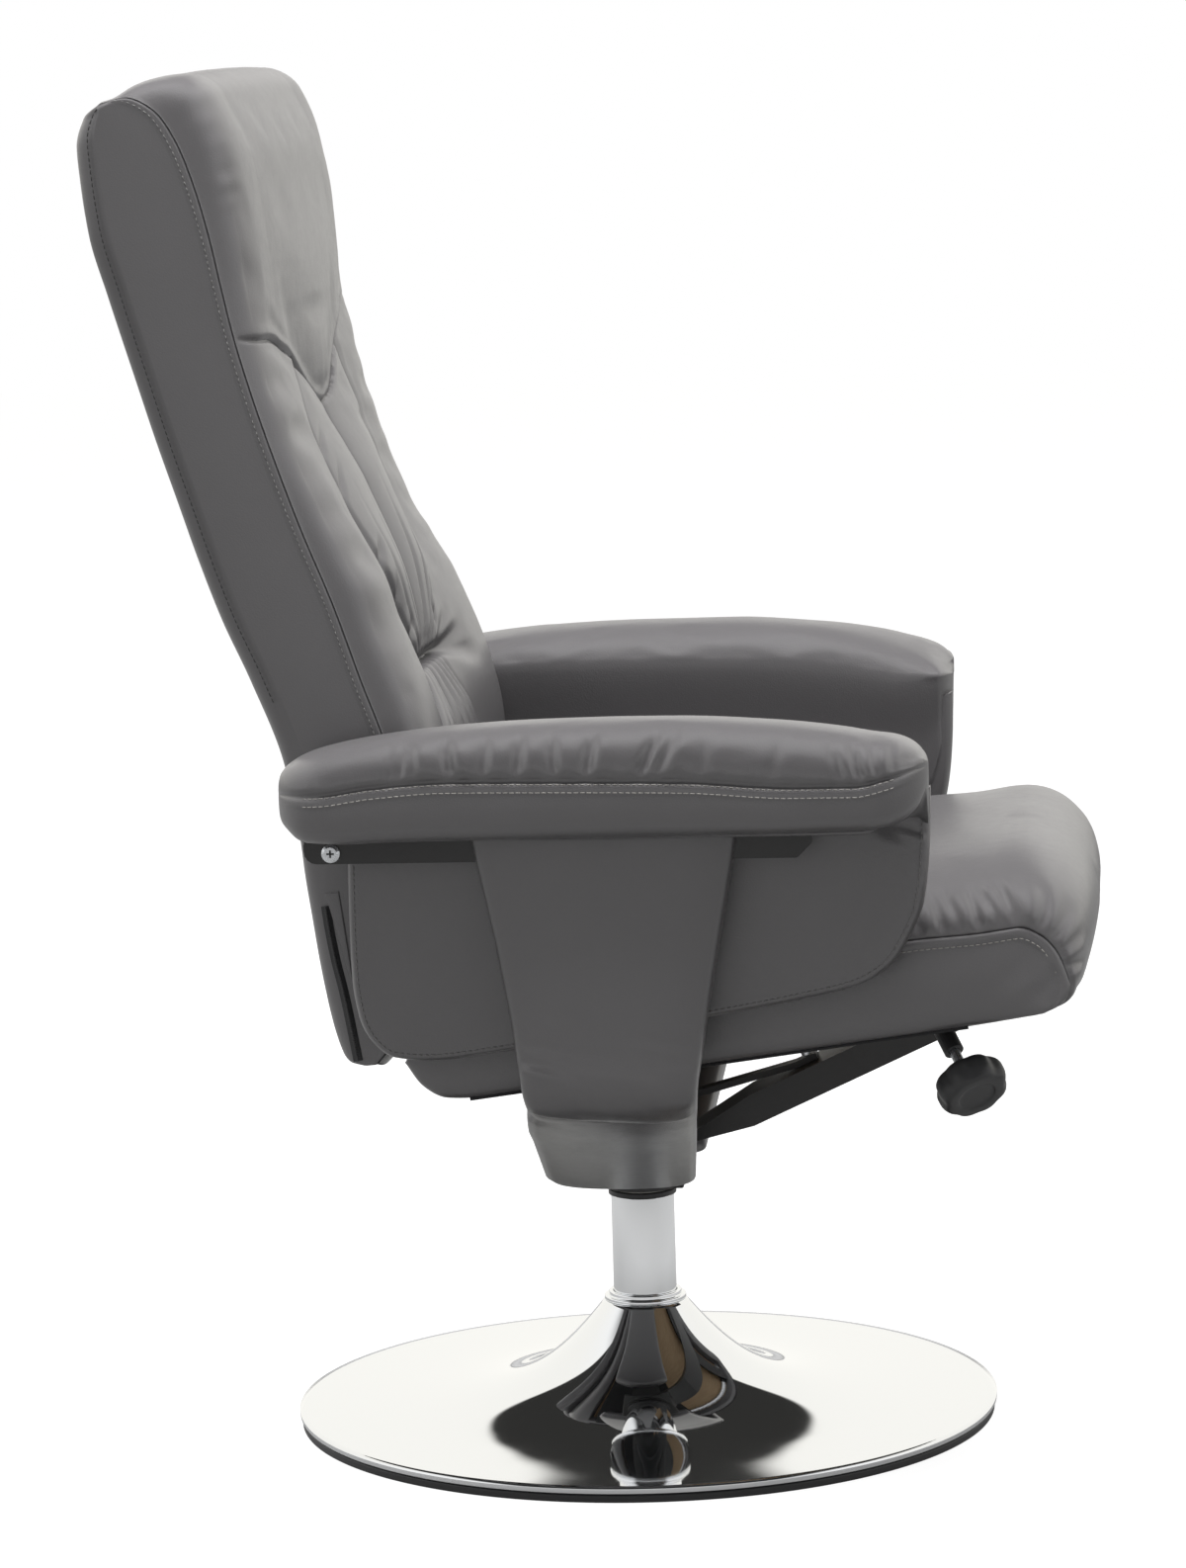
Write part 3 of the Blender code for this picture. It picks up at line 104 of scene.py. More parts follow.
# Side view of an arm pad, as (x, z) points from its rear end to its front end
ARM_CREST = ((-0.2285, 0.552), (-0.2255, 0.560), (-0.218, 0.567), (-0.198, 0.5755), (-0.151, 0.5845),
             (-0.091, 0.5905), (-0.013, 0.5935), (0.067, 0.594), (0.132, 0.591), (0.185, 0.5865),
             (0.208, 0.582), (0.227, 0.577), (0.236, 0.5720), (0.2415, 0.5665), (0.2445, 0.5605))
ARM_SEAM = ((-0.2285, 0.5455), (-0.2204, 0.547), (-0.190, 0.549), (-0.154, 0.5540), (-0.100, 0.5575),
            (-0.008, 0.5565), (0.071, 0.555), (0.151, 0.550), (0.193, 0.5500), (0.2158, 0.5544),
            (0.230, 0.5580), (0.2375, 0.5595), (0.2445, 0.5590))
ARM_FOOT = ((-0.2285, 0.538), (-0.2263, 0.5275), (-0.2190, 0.5205), (-0.2114, 0.5150), (-0.203, 0.5125),
            (-0.174, 0.512), (-0.147, 0.5130), (-0.009, 0.5140), (0.119, 0.5150), (0.175, 0.5160),
            (0.200, 0.5168), (0.2122, 0.5182), (0.2265, 0.5225), (0.2365, 0.5300), (0.2420, 0.5400),
            (0.2445, 0.5500))
# Gathers over the arm's outer seam, as (x at the seam, forward lean, depth) of each
ARM_GATHERS = ((-0.140, 0.0, 0.6), (-0.133, 0.1, 0.9), (-0.122, -0.1, 0.7), (-0.096, -0.15, 1.0),
               (-0.073, 0.05, 0.7), (-0.049, 0.1, 0.9), (-0.021, -0.1, 0.8), (0.001, 0.15, 1.0),
               (0.038, 0.45, 1.2), (0.049, 0.5, 1.0), (0.082, 0.2, 0.4), (0.131, 0.3, 0.3),
               (0.186, -0.30, 0.6), (0.199, -0.25, 1.0), (0.211, -0.2, 0.8), (0.222, -0.1, 0.9),
               (0.229, 0.0, 1.0), (0.235, 0.0, 1.0))
# Side view of the seat in its own tilted frame, as (x, z) points from its rear to its front
SEAT_SEAM = ((-0.128, 0.052), (-0.110, 0.066), (-0.080, 0.0715), (0.000, 0.0725), (0.150, 0.0728),
             (0.237, 0.0725), (0.294, 0.0700), (0.3174, 0.0703), (0.3361, 0.0605), (0.3467, 0.0419),
             (0.3505, 0.0220), (0.3440, 0.0100), (0.3300, 0.0040))
SEAT_FOOT = ((-0.149, 0.034), (-0.139, 0.0150), (-0.122, 0.0030), (-0.095, 0.0), (0.000, 0.0), (0.250, 0.0),
             (0.290, 0.0005), (0.312, 0.0018), (0.328, 0.0035))
# Gathers over the seat's side seams, as (distance from the seam's front end, lean, depth) of each
SEAT_GATHERS = ((0.165, 0.5, 0.6), (0.148, 0.3, 0.9), (0.135, 0.4, 0.8), (0.121, 0.2, 1.1), (0.106, 0.5, 0.8),
                (0.094, 0.3, 1.0), (0.078, 0.2, 0.9), (0.066, 0.1, 1.1), (0.055, 0.0, 0.8),
                (0.043, -0.1, 0.9), (0.030, -0.2, 0.6))
# Tilt of the seat's own frame, and the height of its origin over the floor
SEAT_TILT = math.radians(7.7)
SEAT_LIFT = 0.317
# Centre panel of the back: pleats at the tuft as (share of the half panel, depth), rays from the tuft's ends
# as (slope, depth, reach), and slanting tucks along the side creases as (height, lean)
PANEL_PLEATS = ((-0.70, 0.0016), (-0.42, 0.0020), (0.30, 0.0026), (0.56, 0.0030), (0.78, 0.0026))
TUFT_RAYS = ((0.05, 0.0065, 0.100), (-0.16, 0.0050, 0.130), (0.42, 0.0025, 0.070))
CREASE_TUCKS = ((0.622, 0.5), (0.650, 0.8), (0.684, 0.6), (0.735, 0.9), (0.768, 0.7))
# Lower outline of a side panel, as (x, z) points from its top rear to its top front
PANEL_OUTLINE = ((-0.1850, 0.512), (-0.1860, 0.440), (-0.1850, 0.400), (-0.181, 0.373), (-0.173, 0.355),
                 (-0.155, 0.341), (-0.130, 0.3385), (-0.064, 0.346), (0.010, 0.357), (0.081, 0.369),
                 (0.146, 0.381), (0.188, 0.391), (0.212, 0.405), (0.228, 0.428), (0.2380, 0.452),
                 (0.2425, 0.485), (0.2440, 0.512), (0.2445, 0.537))
# Top edge of a side panel, as (x, z) points
PANEL_TOP = ((0.190, 0.512), (0.2122, 0.524), (0.2265, 0.531), (0.2445, 0.537))
# A leg: its spine as (distance from the middle, z) points, its rear and front edges as (z, x) points, and the
# heights between which the leather folds at the bend
LEG_SPINE = ((0.050, 0.2046), (0.181, 0.2612), (0.285, 0.3060), (0.3123, 0.3320), (0.3123, 0.420),
             (0.3123, 0.512))
LEG_REAR = ((0.204, -0.065), (0.212, -0.0695), (0.280, -0.063), (0.300, -0.0585), (0.306, -0.0545),
            (0.373, -0.063), (0.433, -0.073), (0.512, -0.089))
LEG_FRONT = ((0.204, 0.047), (0.306, 0.069), (0.338, 0.074), (0.385, 0.082), (0.512, 0.106))
LEG_FOLD = (0.3135, 0.3150)
# Points across the top of the seat, and from the inner side of an arm over its crest to its outer seam
SEAT_TOP = 119
ARM_ARC = 91
# Cloth of the covers that settle, its frames, and how its moves are evened out, as shares of the grid
COVER_CLOTH = {"vertex_group_mass": "sewn", "quality": 6, "mass": 0.3, "tension_stiffness": 20,
               "compression_stiffness": 20, "shear_stiffness": 8, "bending_stiffness": 5.0,
               "use_pressure": True, "uniform_pressure_force": 4.0}
COVER_FRAMES = 20
SEWN_REACH = 0.010
SWELL_REACH = 0.05
SWELL_SHARE = 0.8
EVEN_REACH = 0.012
# The two sides of the chair, right and left
SIDES = (("R", -1), ("L", 1))


def arc_length(path):
    """The distance along a path at each of its points."""
    steps = np.linalg.norm(np.diff(path, axis=0), axis=1)
    return np.concatenate([[0.0], np.cumsum(steps)])


def smooth(points, at):
    """A curve through (place, value) points that never swings past them: a cubic between each two, whose
    slope at a point is the harmonic mean of the slopes beside it, or level where these differ in sign."""
    places, values = np.asarray(points, float).T
    slope = np.diff(values) / np.diff(places)
    level = slope[:-1] * slope[1:] <= 0
    mean = 2 * slope[:-1] * slope[1:] / np.where(level, 1, slope[:-1] + slope[1:])
    slopes = np.concatenate([slope[:1], np.where(level, 0, mean), slope[-1:]])
    at = np.clip(np.asarray(at, float), places[0], places[-1])
    index = np.clip(np.searchsorted(places, at, side="right") - 1, 0, len(places) - 2)
    span = places[index + 1] - places[index]
    t = (at - places[index]) / span
    rise = t * t * (3 - 2 * t)
    bend = t * (1 - t) ** 2 * slopes[index] - t * t * (1 - t) * slopes[index + 1]
    return values[index] * (1 - rise) + values[index + 1] * rise + span * bend


def through(points, count):
    """A smooth curve through points of any dimension, given as evenly spaced places along its length."""
    points = np.asarray(points, float)
    at = arc_length(points)
    fine = np.linspace(0, at[-1], 30 * len(points))
    curve = np.stack([smooth(np.column_stack([at, column]), fine) for column in points.T], axis=1)
    length = arc_length(curve)
    even = np.linspace(0, length[-1], count)
    return np.stack([np.interp(even, length, column) for column in curve.T], axis=1)


def closer(path, count, places):
    """A path again in count points, closer together round the heights given as (height, width, gain)."""
    density = 1 + sum(gain * bump(path[:, 1], height, width) for height, width, gain in places)
    reach = np.concatenate([[0], np.cumsum((density[1:] + density[:-1]) / 2 * np.diff(arc_length(path)))])
    at = np.linspace(0, reach[-1], count)
    return np.stack([np.interp(at, reach, column) for column in path.T], axis=1)


def tangents(path):
    """Unit directions along a path."""
    along = np.gradient(path, axis=0)
    return along / np.linalg.norm(along, axis=1, keepdims=True)


def bump(value, centre, width):
    """1 at the centre, falling as a bell to nearly 0 two widths away."""
    return np.exp(-(((value - centre) / width) ** 2))


def ease(value, low, high):
    """0 below low, 1 above high, and a smooth S between them."""
    t = np.clip((value - low) / (high - low), 0, 1)
    return t * t * (3 - 2 * t)


def ripple(place, seed, wave):
    """Irregular gathers between -1 and 1: four sines whose lengths have no common measure."""
    turn = math.tau * place / wave
    lengths = (1.0, 0.618, 1.414, 0.414)
    phases = seed * np.array((1.0, 2.3, 3.7, 5.1))
    return sum(np.sin(turn * length + phase) for length, phase in zip(lengths, phases)) / len(lengths)


def quads(rows, columns, around=False, spun=False):
    """Corner numbers of the faces of a grid, row by row: closed along each row if it goes around, and from
    the last row to the first if it is spun."""
    index = np.arange(rows * columns).reshape(rows, columns)
    if spun:
        index = np.vstack([index, index[:1]])
    if around:
        index = np.hstack([index, index[:, :1]])
    return np.stack([index[:-1, :-1], index[1:, :-1], index[1:, 1:], index[:-1, 1:]], axis=-1).reshape(-1, 4)


def piece(name, shape, body, slot, nodes=(), thread=None):
    """A finished mesh from (points, faces), which moves with one body and stands for the solids it covers.
    Stitches have a thread for their finish and keep their faces as they come."""
    points, faces = shape
    mesh = bpy.data.meshes.new(name)
    mesh.from_pydata(np.asarray(points, float).reshape(-1, 3).tolist(), [], faces)
    if thread is None:
        maker = bmesh.new()
        maker.from_mesh(mesh)
        bmesh.ops.remove_doubles(maker, verts=maker.verts, dist=1e-6)
        bmesh.ops.recalc_face_normals(maker, faces=maker.faces)
        maker.to_mesh(mesh)
        maker.free()
    mesh.shade_smooth()
    mesh.materials.append(finish_named(thread or slot))
    made = bpy.data.objects.new(name, mesh)
    bpy.context.scene.collection.objects.link(made)
    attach(made, body)
    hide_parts(*nodes)
    return made


def loft(rings):
    """Points and faces of a closed skin over rings of equal count, capped on its first and its last ring."""
    rings = np.asarray(rings, float)
    rows, columns = rings.shape[:2]
    faces = quads(rows, columns, around=True).tolist()
    faces.append(list(range(columns)))
    faces.append(list(range((rows - 1) * columns, rows * columns)))
    return rings.reshape(-1, 3), faces


def turned(profile, sides):
    """Points and faces of a (radius, height) profile spun round Z, closed at the axis or back on itself."""
    profile = np.asarray(profile, float)
    turn = np.linspace(0, math.tau, sides, endpoint=False)[:, None]
    x = profile[:, 0] * np.cos(turn)
    y = profile[:, 0] * np.sin(turn)
    z = np.broadcast_to(profile[:, 1], x.shape)
    faces = quads(sides, len(profile), around=profile[0, 0] > 0, spun=True)
    return np.stack([x, y, z], axis=-1), faces.tolist()


def beside(line, y):
    """Points of a side view, given as (x, z), set at this distance from the chair's middle."""
    return np.column_stack([line[:, 0], np.broadcast_to(y, len(line)), line[:, 1]])


def swept(path, side, profile):
    """Rings of a flat (across, up) profile, one for all or one for each point, carried along a path on the
    right (-1) or left (1) face of a piece."""
    up = np.array((0.0, side, 0.0))
    over = np.cross(tangents(path), up)[:, None]
    profile = np.broadcast_to(profile, (len(path),) + np.shape(profile)[-2:])
    return path[:, None] + over * profile[..., :1] + up * profile[..., 1:]


def rounded(profile, radius, steps=5):
    """A (radius, height) profile with each inner corner turned into an arc by a quadratic curve."""
    profile = np.asarray(profile, float)
    before, corner, after = profile[:-2], profile[1:-1], profile[2:]
    reach_in = np.minimum(radius, np.linalg.norm(corner - before, axis=1) * 0.45)[:, None]
    reach_out = np.minimum(radius, np.linalg.norm(after - corner, axis=1) * 0.45)[:, None]
    start = corner + (before - corner) / np.linalg.norm(before - corner, axis=1, keepdims=True) * reach_in
    end = corner + (after - corner) / np.linalg.norm(after - corner, axis=1, keepdims=True) * reach_out
    t = np.linspace(0, 1, steps)[None, :, None]
    arcs = start[:, None] * (1 - t) ** 2 + corner[:, None] * 2 * t * (1 - t) + end[:, None] * t**2
    return np.concatenate([profile[:1], arcs.reshape(-1, 2), profile[-1:]])


def stitches(path, side, settings):
    """Points and faces of a row of stitches along a path on the right (-1) or left (1) face of a piece: short
    bars of thread, each dipping into the leather at both ends, their middles standing half out of it."""
    length = arc_length(path)
    count = max(1, int(length[-1] / settings.pitch))
    at = (np.arange(count) + 0.5) * length[-1] / count

    def sampled(values):
        return np.stack([np.interp(at, length, column) for column in values.T], axis=1)

    centre, along = sampled(path), sampled(tangents(path))
    up = np.array((0.0, side, 0.0))
    over = np.cross(along, up)
    reach = np.array((-1.0, -0.8, 0.0, 0.8, 1.0))[:, None]
    girth = settings.thread / 2 * np.array((0.5, 0.9, 1.0, 0.9, 0.5))[:, None]
    rings, sides = len(reach), 6
    turn = np.linspace(0, math.tau, sides, endpoint=False)[None, :]
    local_along = np.broadcast_to(reach * settings.length / 2, (rings, sides))
    local_over = girth * np.cos(turn)
    local_up = girth * np.sin(turn) + settings.thread * (0.35 - 0.75 * reach**4)
    points = (centre[:, None, None] + local_along[..., None] * along[:, None, None]
              + local_over[..., None] * over[:, None, None] + local_up[..., None] * up)
    cap = np.array([[0, 1, 2, 3], [0, 3, 4, 5]])
    one = np.concatenate([quads(rings, sides, around=True), cap, cap + (rings - 1) * sides])
    faces = one[None] + rings * sides * np.arange(count)[:, None, None]
    return points.reshape(-1, 3), faces.reshape(-1, 4)


def together(parts):
    """Several (points, faces) parts as one."""
    points, faces = zip(*parts)
    starts = np.cumsum([0] + [len(part) for part in points[:-1]])
    moved = [np.asarray(part) + start for part, start in zip(faces, starts)]
    return np.concatenate(points), np.concatenate(moved).tolist()


def spread(values, rows, columns):
    """Values on a coarse grid carried to a finer one by cubic curves along both its directions."""
    def weights(coarse, fine):
        at = np.linspace(0, coarse - 1, fine)
        low = np.minimum(at.astype(int), coarse - 2)
        part = (at - low)[:, None]
        shares = np.hstack([-part + 2 * part**2 - part**3, 2 - 5 * part**2 + 3 * part**3,
                            part + 4 * part**2 - 3 * part**3, part**3 - part**2]) / 2
        table = np.zeros((fine, coarse))
        for step in range(4):
            np.add.at(table, (np.arange(fine), np.clip(low + step - 1, 0, coarse - 1)), shares[:, step])
        return table
    return np.einsum("ia,jb,abk->ijk", weights(values.shape[0], rows), weights(values.shape[1], columns),
                     values)


def blurred(values, reach):
    """Values on a grid, each replaced by a bell-weighted mean of those within a share of the grid."""
    def weights(count):
        at = np.arange(count)
        table = bump(at[:, None] - at[None, :], 0, max(reach * count, 1.0))
        return table / table.sum(axis=1, keepdims=True)
    return np.einsum("ia,jb,abk->ijk", weights(values.shape[0]), weights(values.shape[1]), values)


def settled(points, sewn, outward, slack, cap):
    """How a padded cover settles: a grid of cloth, sewn down where asked and cut larger than its form by the
    slack, is blown out by a slight pressure without weight for some frames. Each point keeps its way beyond
    most of the slow swell of those round it, so the folds and not the bulge, evened out and up to the cap."""
    rows, columns = points.shape[:2]
    scene = bpy.context.scene
    mesh = bpy.data.meshes.new("cover")
    mesh.from_pydata(points.reshape(-1, 3).tolist(), [], quads(rows, columns).tolist())
    normals = np.empty(len(mesh.polygons) * 3, np.float32)
    mesh.polygons.foreach_get("normal", normals)
    if normals.reshape(-1, 3).sum(axis=0) @ outward < 0:
        mesh.flip_normals()
    cover = bpy.data.objects.new("cover", mesh)
    scene.collection.objects.link(cover)
    cover.vertex_groups.new(name="sewn").add(np.flatnonzero(sewn.reshape(-1)).tolist(), 1.0, "REPLACE")
    cloth = cover.modifiers.new("cloth", "CLOTH")
    for name, value in COVER_CLOTH.items():
        setattr(cloth.settings, name, value)
    cloth.settings.shrink_min = -slack
    cloth.settings.effector_weights.gravity = 0.0
    for number in range(1, COVER_FRAMES + 1):
        scene.frame_set(number)
    shaped = np.empty(rows * columns * 3, np.float32)
    cover.evaluated_get(bpy.context.evaluated_depsgraph_get()).data.vertices.foreach_get("co", shaped)
    bpy.data.objects.remove(cover)
    bpy.data.meshes.remove(mesh)
    scene.frame_set(1)
    moves = shaped.reshape(points.shape) - points
    free = np.clip(1 - 2 * blurred(sewn[..., None].astype(float), SEWN_REACH), 0, 1)
    moves = blurred(moves - SWELL_SHARE * blurred(moves, SWELL_REACH), EVEN_REACH) * free
    length = np.linalg.norm(moves, axis=-1, keepdims=True)
    return moves * np.minimum(1, cap / np.maximum(length, 1e-9))


class Wire:
    """One output of a shader node. Arithmetic on it adds the Math node that works it out."""

    def __init__(self, finish, socket):
        self.finish = finish
        self.socket = socket

    def maths(self, operation, first, second):
        return self.finish.node("ShaderNodeMath", {"operation": operation}, {0: first, 1: second})

    def __add__(self, other):
        return self.maths("ADD", self, other)

    def __radd__(self, other):
        return self.maths("ADD", other, self)

    def __sub__(self, other):
        return self.maths("SUBTRACT", self, other)

    def __rsub__(self, other):
        return self.maths("SUBTRACT", other, self)

    def __mul__(self, other):
        return self.maths("MULTIPLY", self, other)

    def __rmul__(self, other):
        return self.maths("MULTIPLY", other, self)


class Nodes:
    """A node tree being made, with one method that adds any node to it."""

    def __init__(self, tree):
        self.tree = tree

    def source(self, kind, output):
        """One output of a node that needs no input."""
        return Wire(self, self.tree.nodes.new(kind).outputs[output])

    def step(self, value, low, high):
        """0 below low, 1 above high, and a smooth S between them."""
        return self.node("ShaderNodeMapRange", {"interpolation_type": "SMOOTHSTEP"},
                         {"Value": value, "From Min": low, "From Max": high})

    def blend(self, share, first, second):
        """A colour between two, by a share from 0 to 1."""
        return self.node("ShaderNodeMix", {"data_type": "RGBA"}, {0: share, 6: first, 7: second}, output=2)

    def node(self, kind, settings, inputs, output=0):
        """One output of a new node with these settings and inputs."""
        added = self.tree.nodes.new(kind)
        for name, value in settings.items():
            setattr(added, name, value)
        for name, value in inputs.items():
            self.feed(added.inputs[name], value)
        return Wire(self, added.outputs[output])

    def feed(self, socket, value):
        """Links a wire to a socket, or sets the socket to a plain value."""
        if isinstance(value, Wire):
            self.tree.links.new(value.socket, socket)
        else:
            socket.default_value = value


class Finish(Nodes):
    """A material being made."""

    def __init__(self, name):
        self.material = bpy.data.materials.new(name)
        self.material.use_nodes = True
        super().__init__(self.material.node_tree)
        self.shader = self.tree.nodes["Principled BSDF"]
        self.place = self.source("ShaderNodeTexCoord", "Object")

    def noise(self, size, detail=2.0):
        """Soft noise from 0 to 1 whose spots are about this size in metres."""
        spots = {"Vector": self.place, "Scale": 1 / size, "Detail": detail}
        return self.node("ShaderNodeTexNoise", {}, spots)

    def cells(self, size):
        """Distance to the nearest of the points of a cell pattern of this size."""
        return self.node("ShaderNodeTexVoronoi", {}, {"Vector": self.place, "Scale": 1 / size})

    def relief(self, height, depth, strength=1.0):
        """A bump of this depth in metres."""
        return self.node("ShaderNodeBump", {}, {"Height": height, "Distance": depth, "Strength": strength})

    def set(self, **values):
        """The material, with these inputs of its shader set."""
        names = {"colour": "Base Color", "roughness": "Roughness", "metallic": "Metallic", "normal": "Normal",
                 "specular": "Specular IOR Level"}
        for name, value in values.items():
            self.feed(self.shader.inputs[names[name]], value)
        return self.material


def shade(colour, factor):
    """A colour made lighter or darker."""
    return (*(min(1.0, channel * factor) for channel in colour[:3]), 1.0)


def leather_finish(settings):
    """Pigmented leather: pores of two sizes, faint mottling, and a satin coat rougher in the pores."""
    finish = Finish("grey_leather")
    pebble = finish.cells(settings.grain)
    pores = finish.cells(settings.grain * 0.45)
    crease = finish.noise(settings.grain * 6, 3)
    mottle = finish.noise(0.06, 3)
    height = pebble * 0.6 + pores * 0.3 + crease * 0.5
    colour = finish.blend(mottle * 0.7 + pebble * 0.3, shade(settings.colour, 0.93),
                          shade(settings.colour, 1.06))
    return finish.set(colour=colour, roughness=settings.roughness - 0.04 + 0.08 * crease,
                      specular=settings.sheen, normal=finish.relief(height, settings.grain_depth))


def thread_finish(name, colour):
    """Twisted polyester thread."""
    finish = Finish(name)
    twist = finish.noise(0.0006)
    colour = finish.blend(twist, shade(colour, 0.8), shade(colour, 1.2))
    return finish.set(colour=colour, roughness=0.6, normal=finish.relief(twist, 0.0002))


def chrome_finish():
    """Bright chrome with the faintest waviness of pressed steel and a trace of haze."""
    finish = Finish("chrome")
    wave = finish.noise(0.09, 1)
    haze = finish.noise(0.02, 3)
    return finish.set(colour=(0.82, 0.83, 0.84, 1), metallic=1.0, roughness=0.02 + 0.03 * haze,
                      normal=finish.relief(wave, 0.0004, 0.3))


def powder_finish():
    """Black powder coat: fine orange peel, rubbed a little smoother in places."""
    finish = Finish("black_steel")
    peel = finish.noise(0.0018, 2)
    rubbed = finish.noise(0.03, 3)
    colour = finish.blend(rubbed, (0.013, 0.013, 0.013, 1), (0.022, 0.021, 0.021, 1))
    return finish.set(colour=colour, roughness=0.34 + 0.16 * rubbed, normal=finish.relief(peel, 0.0003, 0.5))


def plastic_finish():
    """Black moulded plastic with a fine spark-eroded texture."""
    finish = Finish("black_plastic")
    texture = finish.noise(0.0007, 2)
    worn = finish.noise(0.012, 2)
    colour = finish.blend(worn, (0.014, 0.014, 0.015, 1), (0.024, 0.024, 0.025, 1))
    return finish.set(colour=colour, roughness=0.4 + 0.12 * worn, normal=finish.relief(texture, 0.00012, 0.6))


def zinc_finish():
    """Bright zinc plate with a bluish cast and fine turning marks."""
    finish = Finish("zinc")
    patch = finish.noise(0.004, 3)
    colour = finish.blend(patch, (0.56, 0.58, 0.61, 1), (0.70, 0.71, 0.72, 1))
    return finish.set(colour=colour, metallic=1.0, roughness=0.2 + 0.15 * patch,
                      normal=finish.relief(finish.noise(0.0009), 0.0001, 0.4))


def plywood_finish():
    """Sanded birch plywood: grain drawn out along X, with darker late wood."""
    finish = Finish("plywood")
    drawn = finish.node("ShaderNodeMapping", {}, {"Vector": finish.place, "Scale": (0.08, 1.0, 1.0)})
    grain = finish.node("ShaderNodeTexNoise", {}, {"Vector": drawn, "Scale": 260.0, "Detail": 4.0})
    colour = finish.blend(grain, (0.36, 0.24, 0.13, 1), (0.58, 0.42, 0.26, 1))
    return finish.set(colour=colour, roughness=0.62 + 0.2 * grain, normal=finish.relief(grain, 0.0003, 0.5))


def nylon_finish():
    """Natural nylon, waxy and slightly mottled."""
    finish = Finish("nylon")
    mottle = finish.noise(0.006)
    colour = finish.blend(mottle, (0.70, 0.69, 0.63, 1), (0.82, 0.81, 0.76, 1))
    return finish.set(colour=colour, roughness=0.45 + 0.1 * mottle)


def cloth_finish():
    """Thin black lining cloth with a crossed weave."""
    finish = Finish("black_cloth")
    threads = {"Vector": finish.place, "Scale": 320.0}
    warp = finish.node("ShaderNodeTexWave", {"bands_direction": "X"}, threads)
    weft = finish.node("ShaderNodeTexWave", {"bands_direction": "Y"}, threads)
    weave = warp * weft
    colour = finish.blend(weave, (0.008, 0.008, 0.009, 1), (0.024, 0.024, 0.026, 1))
    return finish.set(colour=colour, roughness=0.85 + 0.1 * weave, normal=finish.relief(weave, 0.0003, 0.6))


FINISHES = {}


def finish_named(name):
    """The finish of a material slot, made the first time it is asked for."""
    scene = bpy.context.scene
    makers = {
        "grey_leather": lambda: leather_finish(scene.recliner_leather),
        # One thread in three copies painted at three levels of light: lit on the seat and arms, a middle
        # level on the back's front and the panels, and painted shade on the back's rear edges
        "thread": lambda: thread_finish("thread", scene.recliner_stitching.colour),
        "grey_thread": lambda: thread_finish("grey_thread", scene.recliner_stitching.grey_colour),
        "painted_shade_thread": lambda: thread_finish("painted_shade_thread", scene.recliner_stitching.painted_shade_thread_colour),
        "chrome": chrome_finish,
        "black_steel": powder_finish,
        "black_plastic": plastic_finish,
        "zinc": zinc_finish,
        "plywood": plywood_finish,
        "nylon": nylon_finish,
        "black_cloth": cloth_finish,
    }
    if name not in FINISHES:
        FINISHES[name] = makers[name]()
    return FINISHES[name]


def across(count):
    """Places from -1 to 1, closer together towards both ends."""
    return np.sin(np.linspace(-math.pi / 2, math.pi / 2, count))


def headrest_edge(y):
    """Height of the headrest's lower edge: a curve of the distance from the middle, higher on the left."""
    return smooth(HEADREST_EDGE, np.abs(y)) + 0.011 * ease(y, 0.08, 0.19)


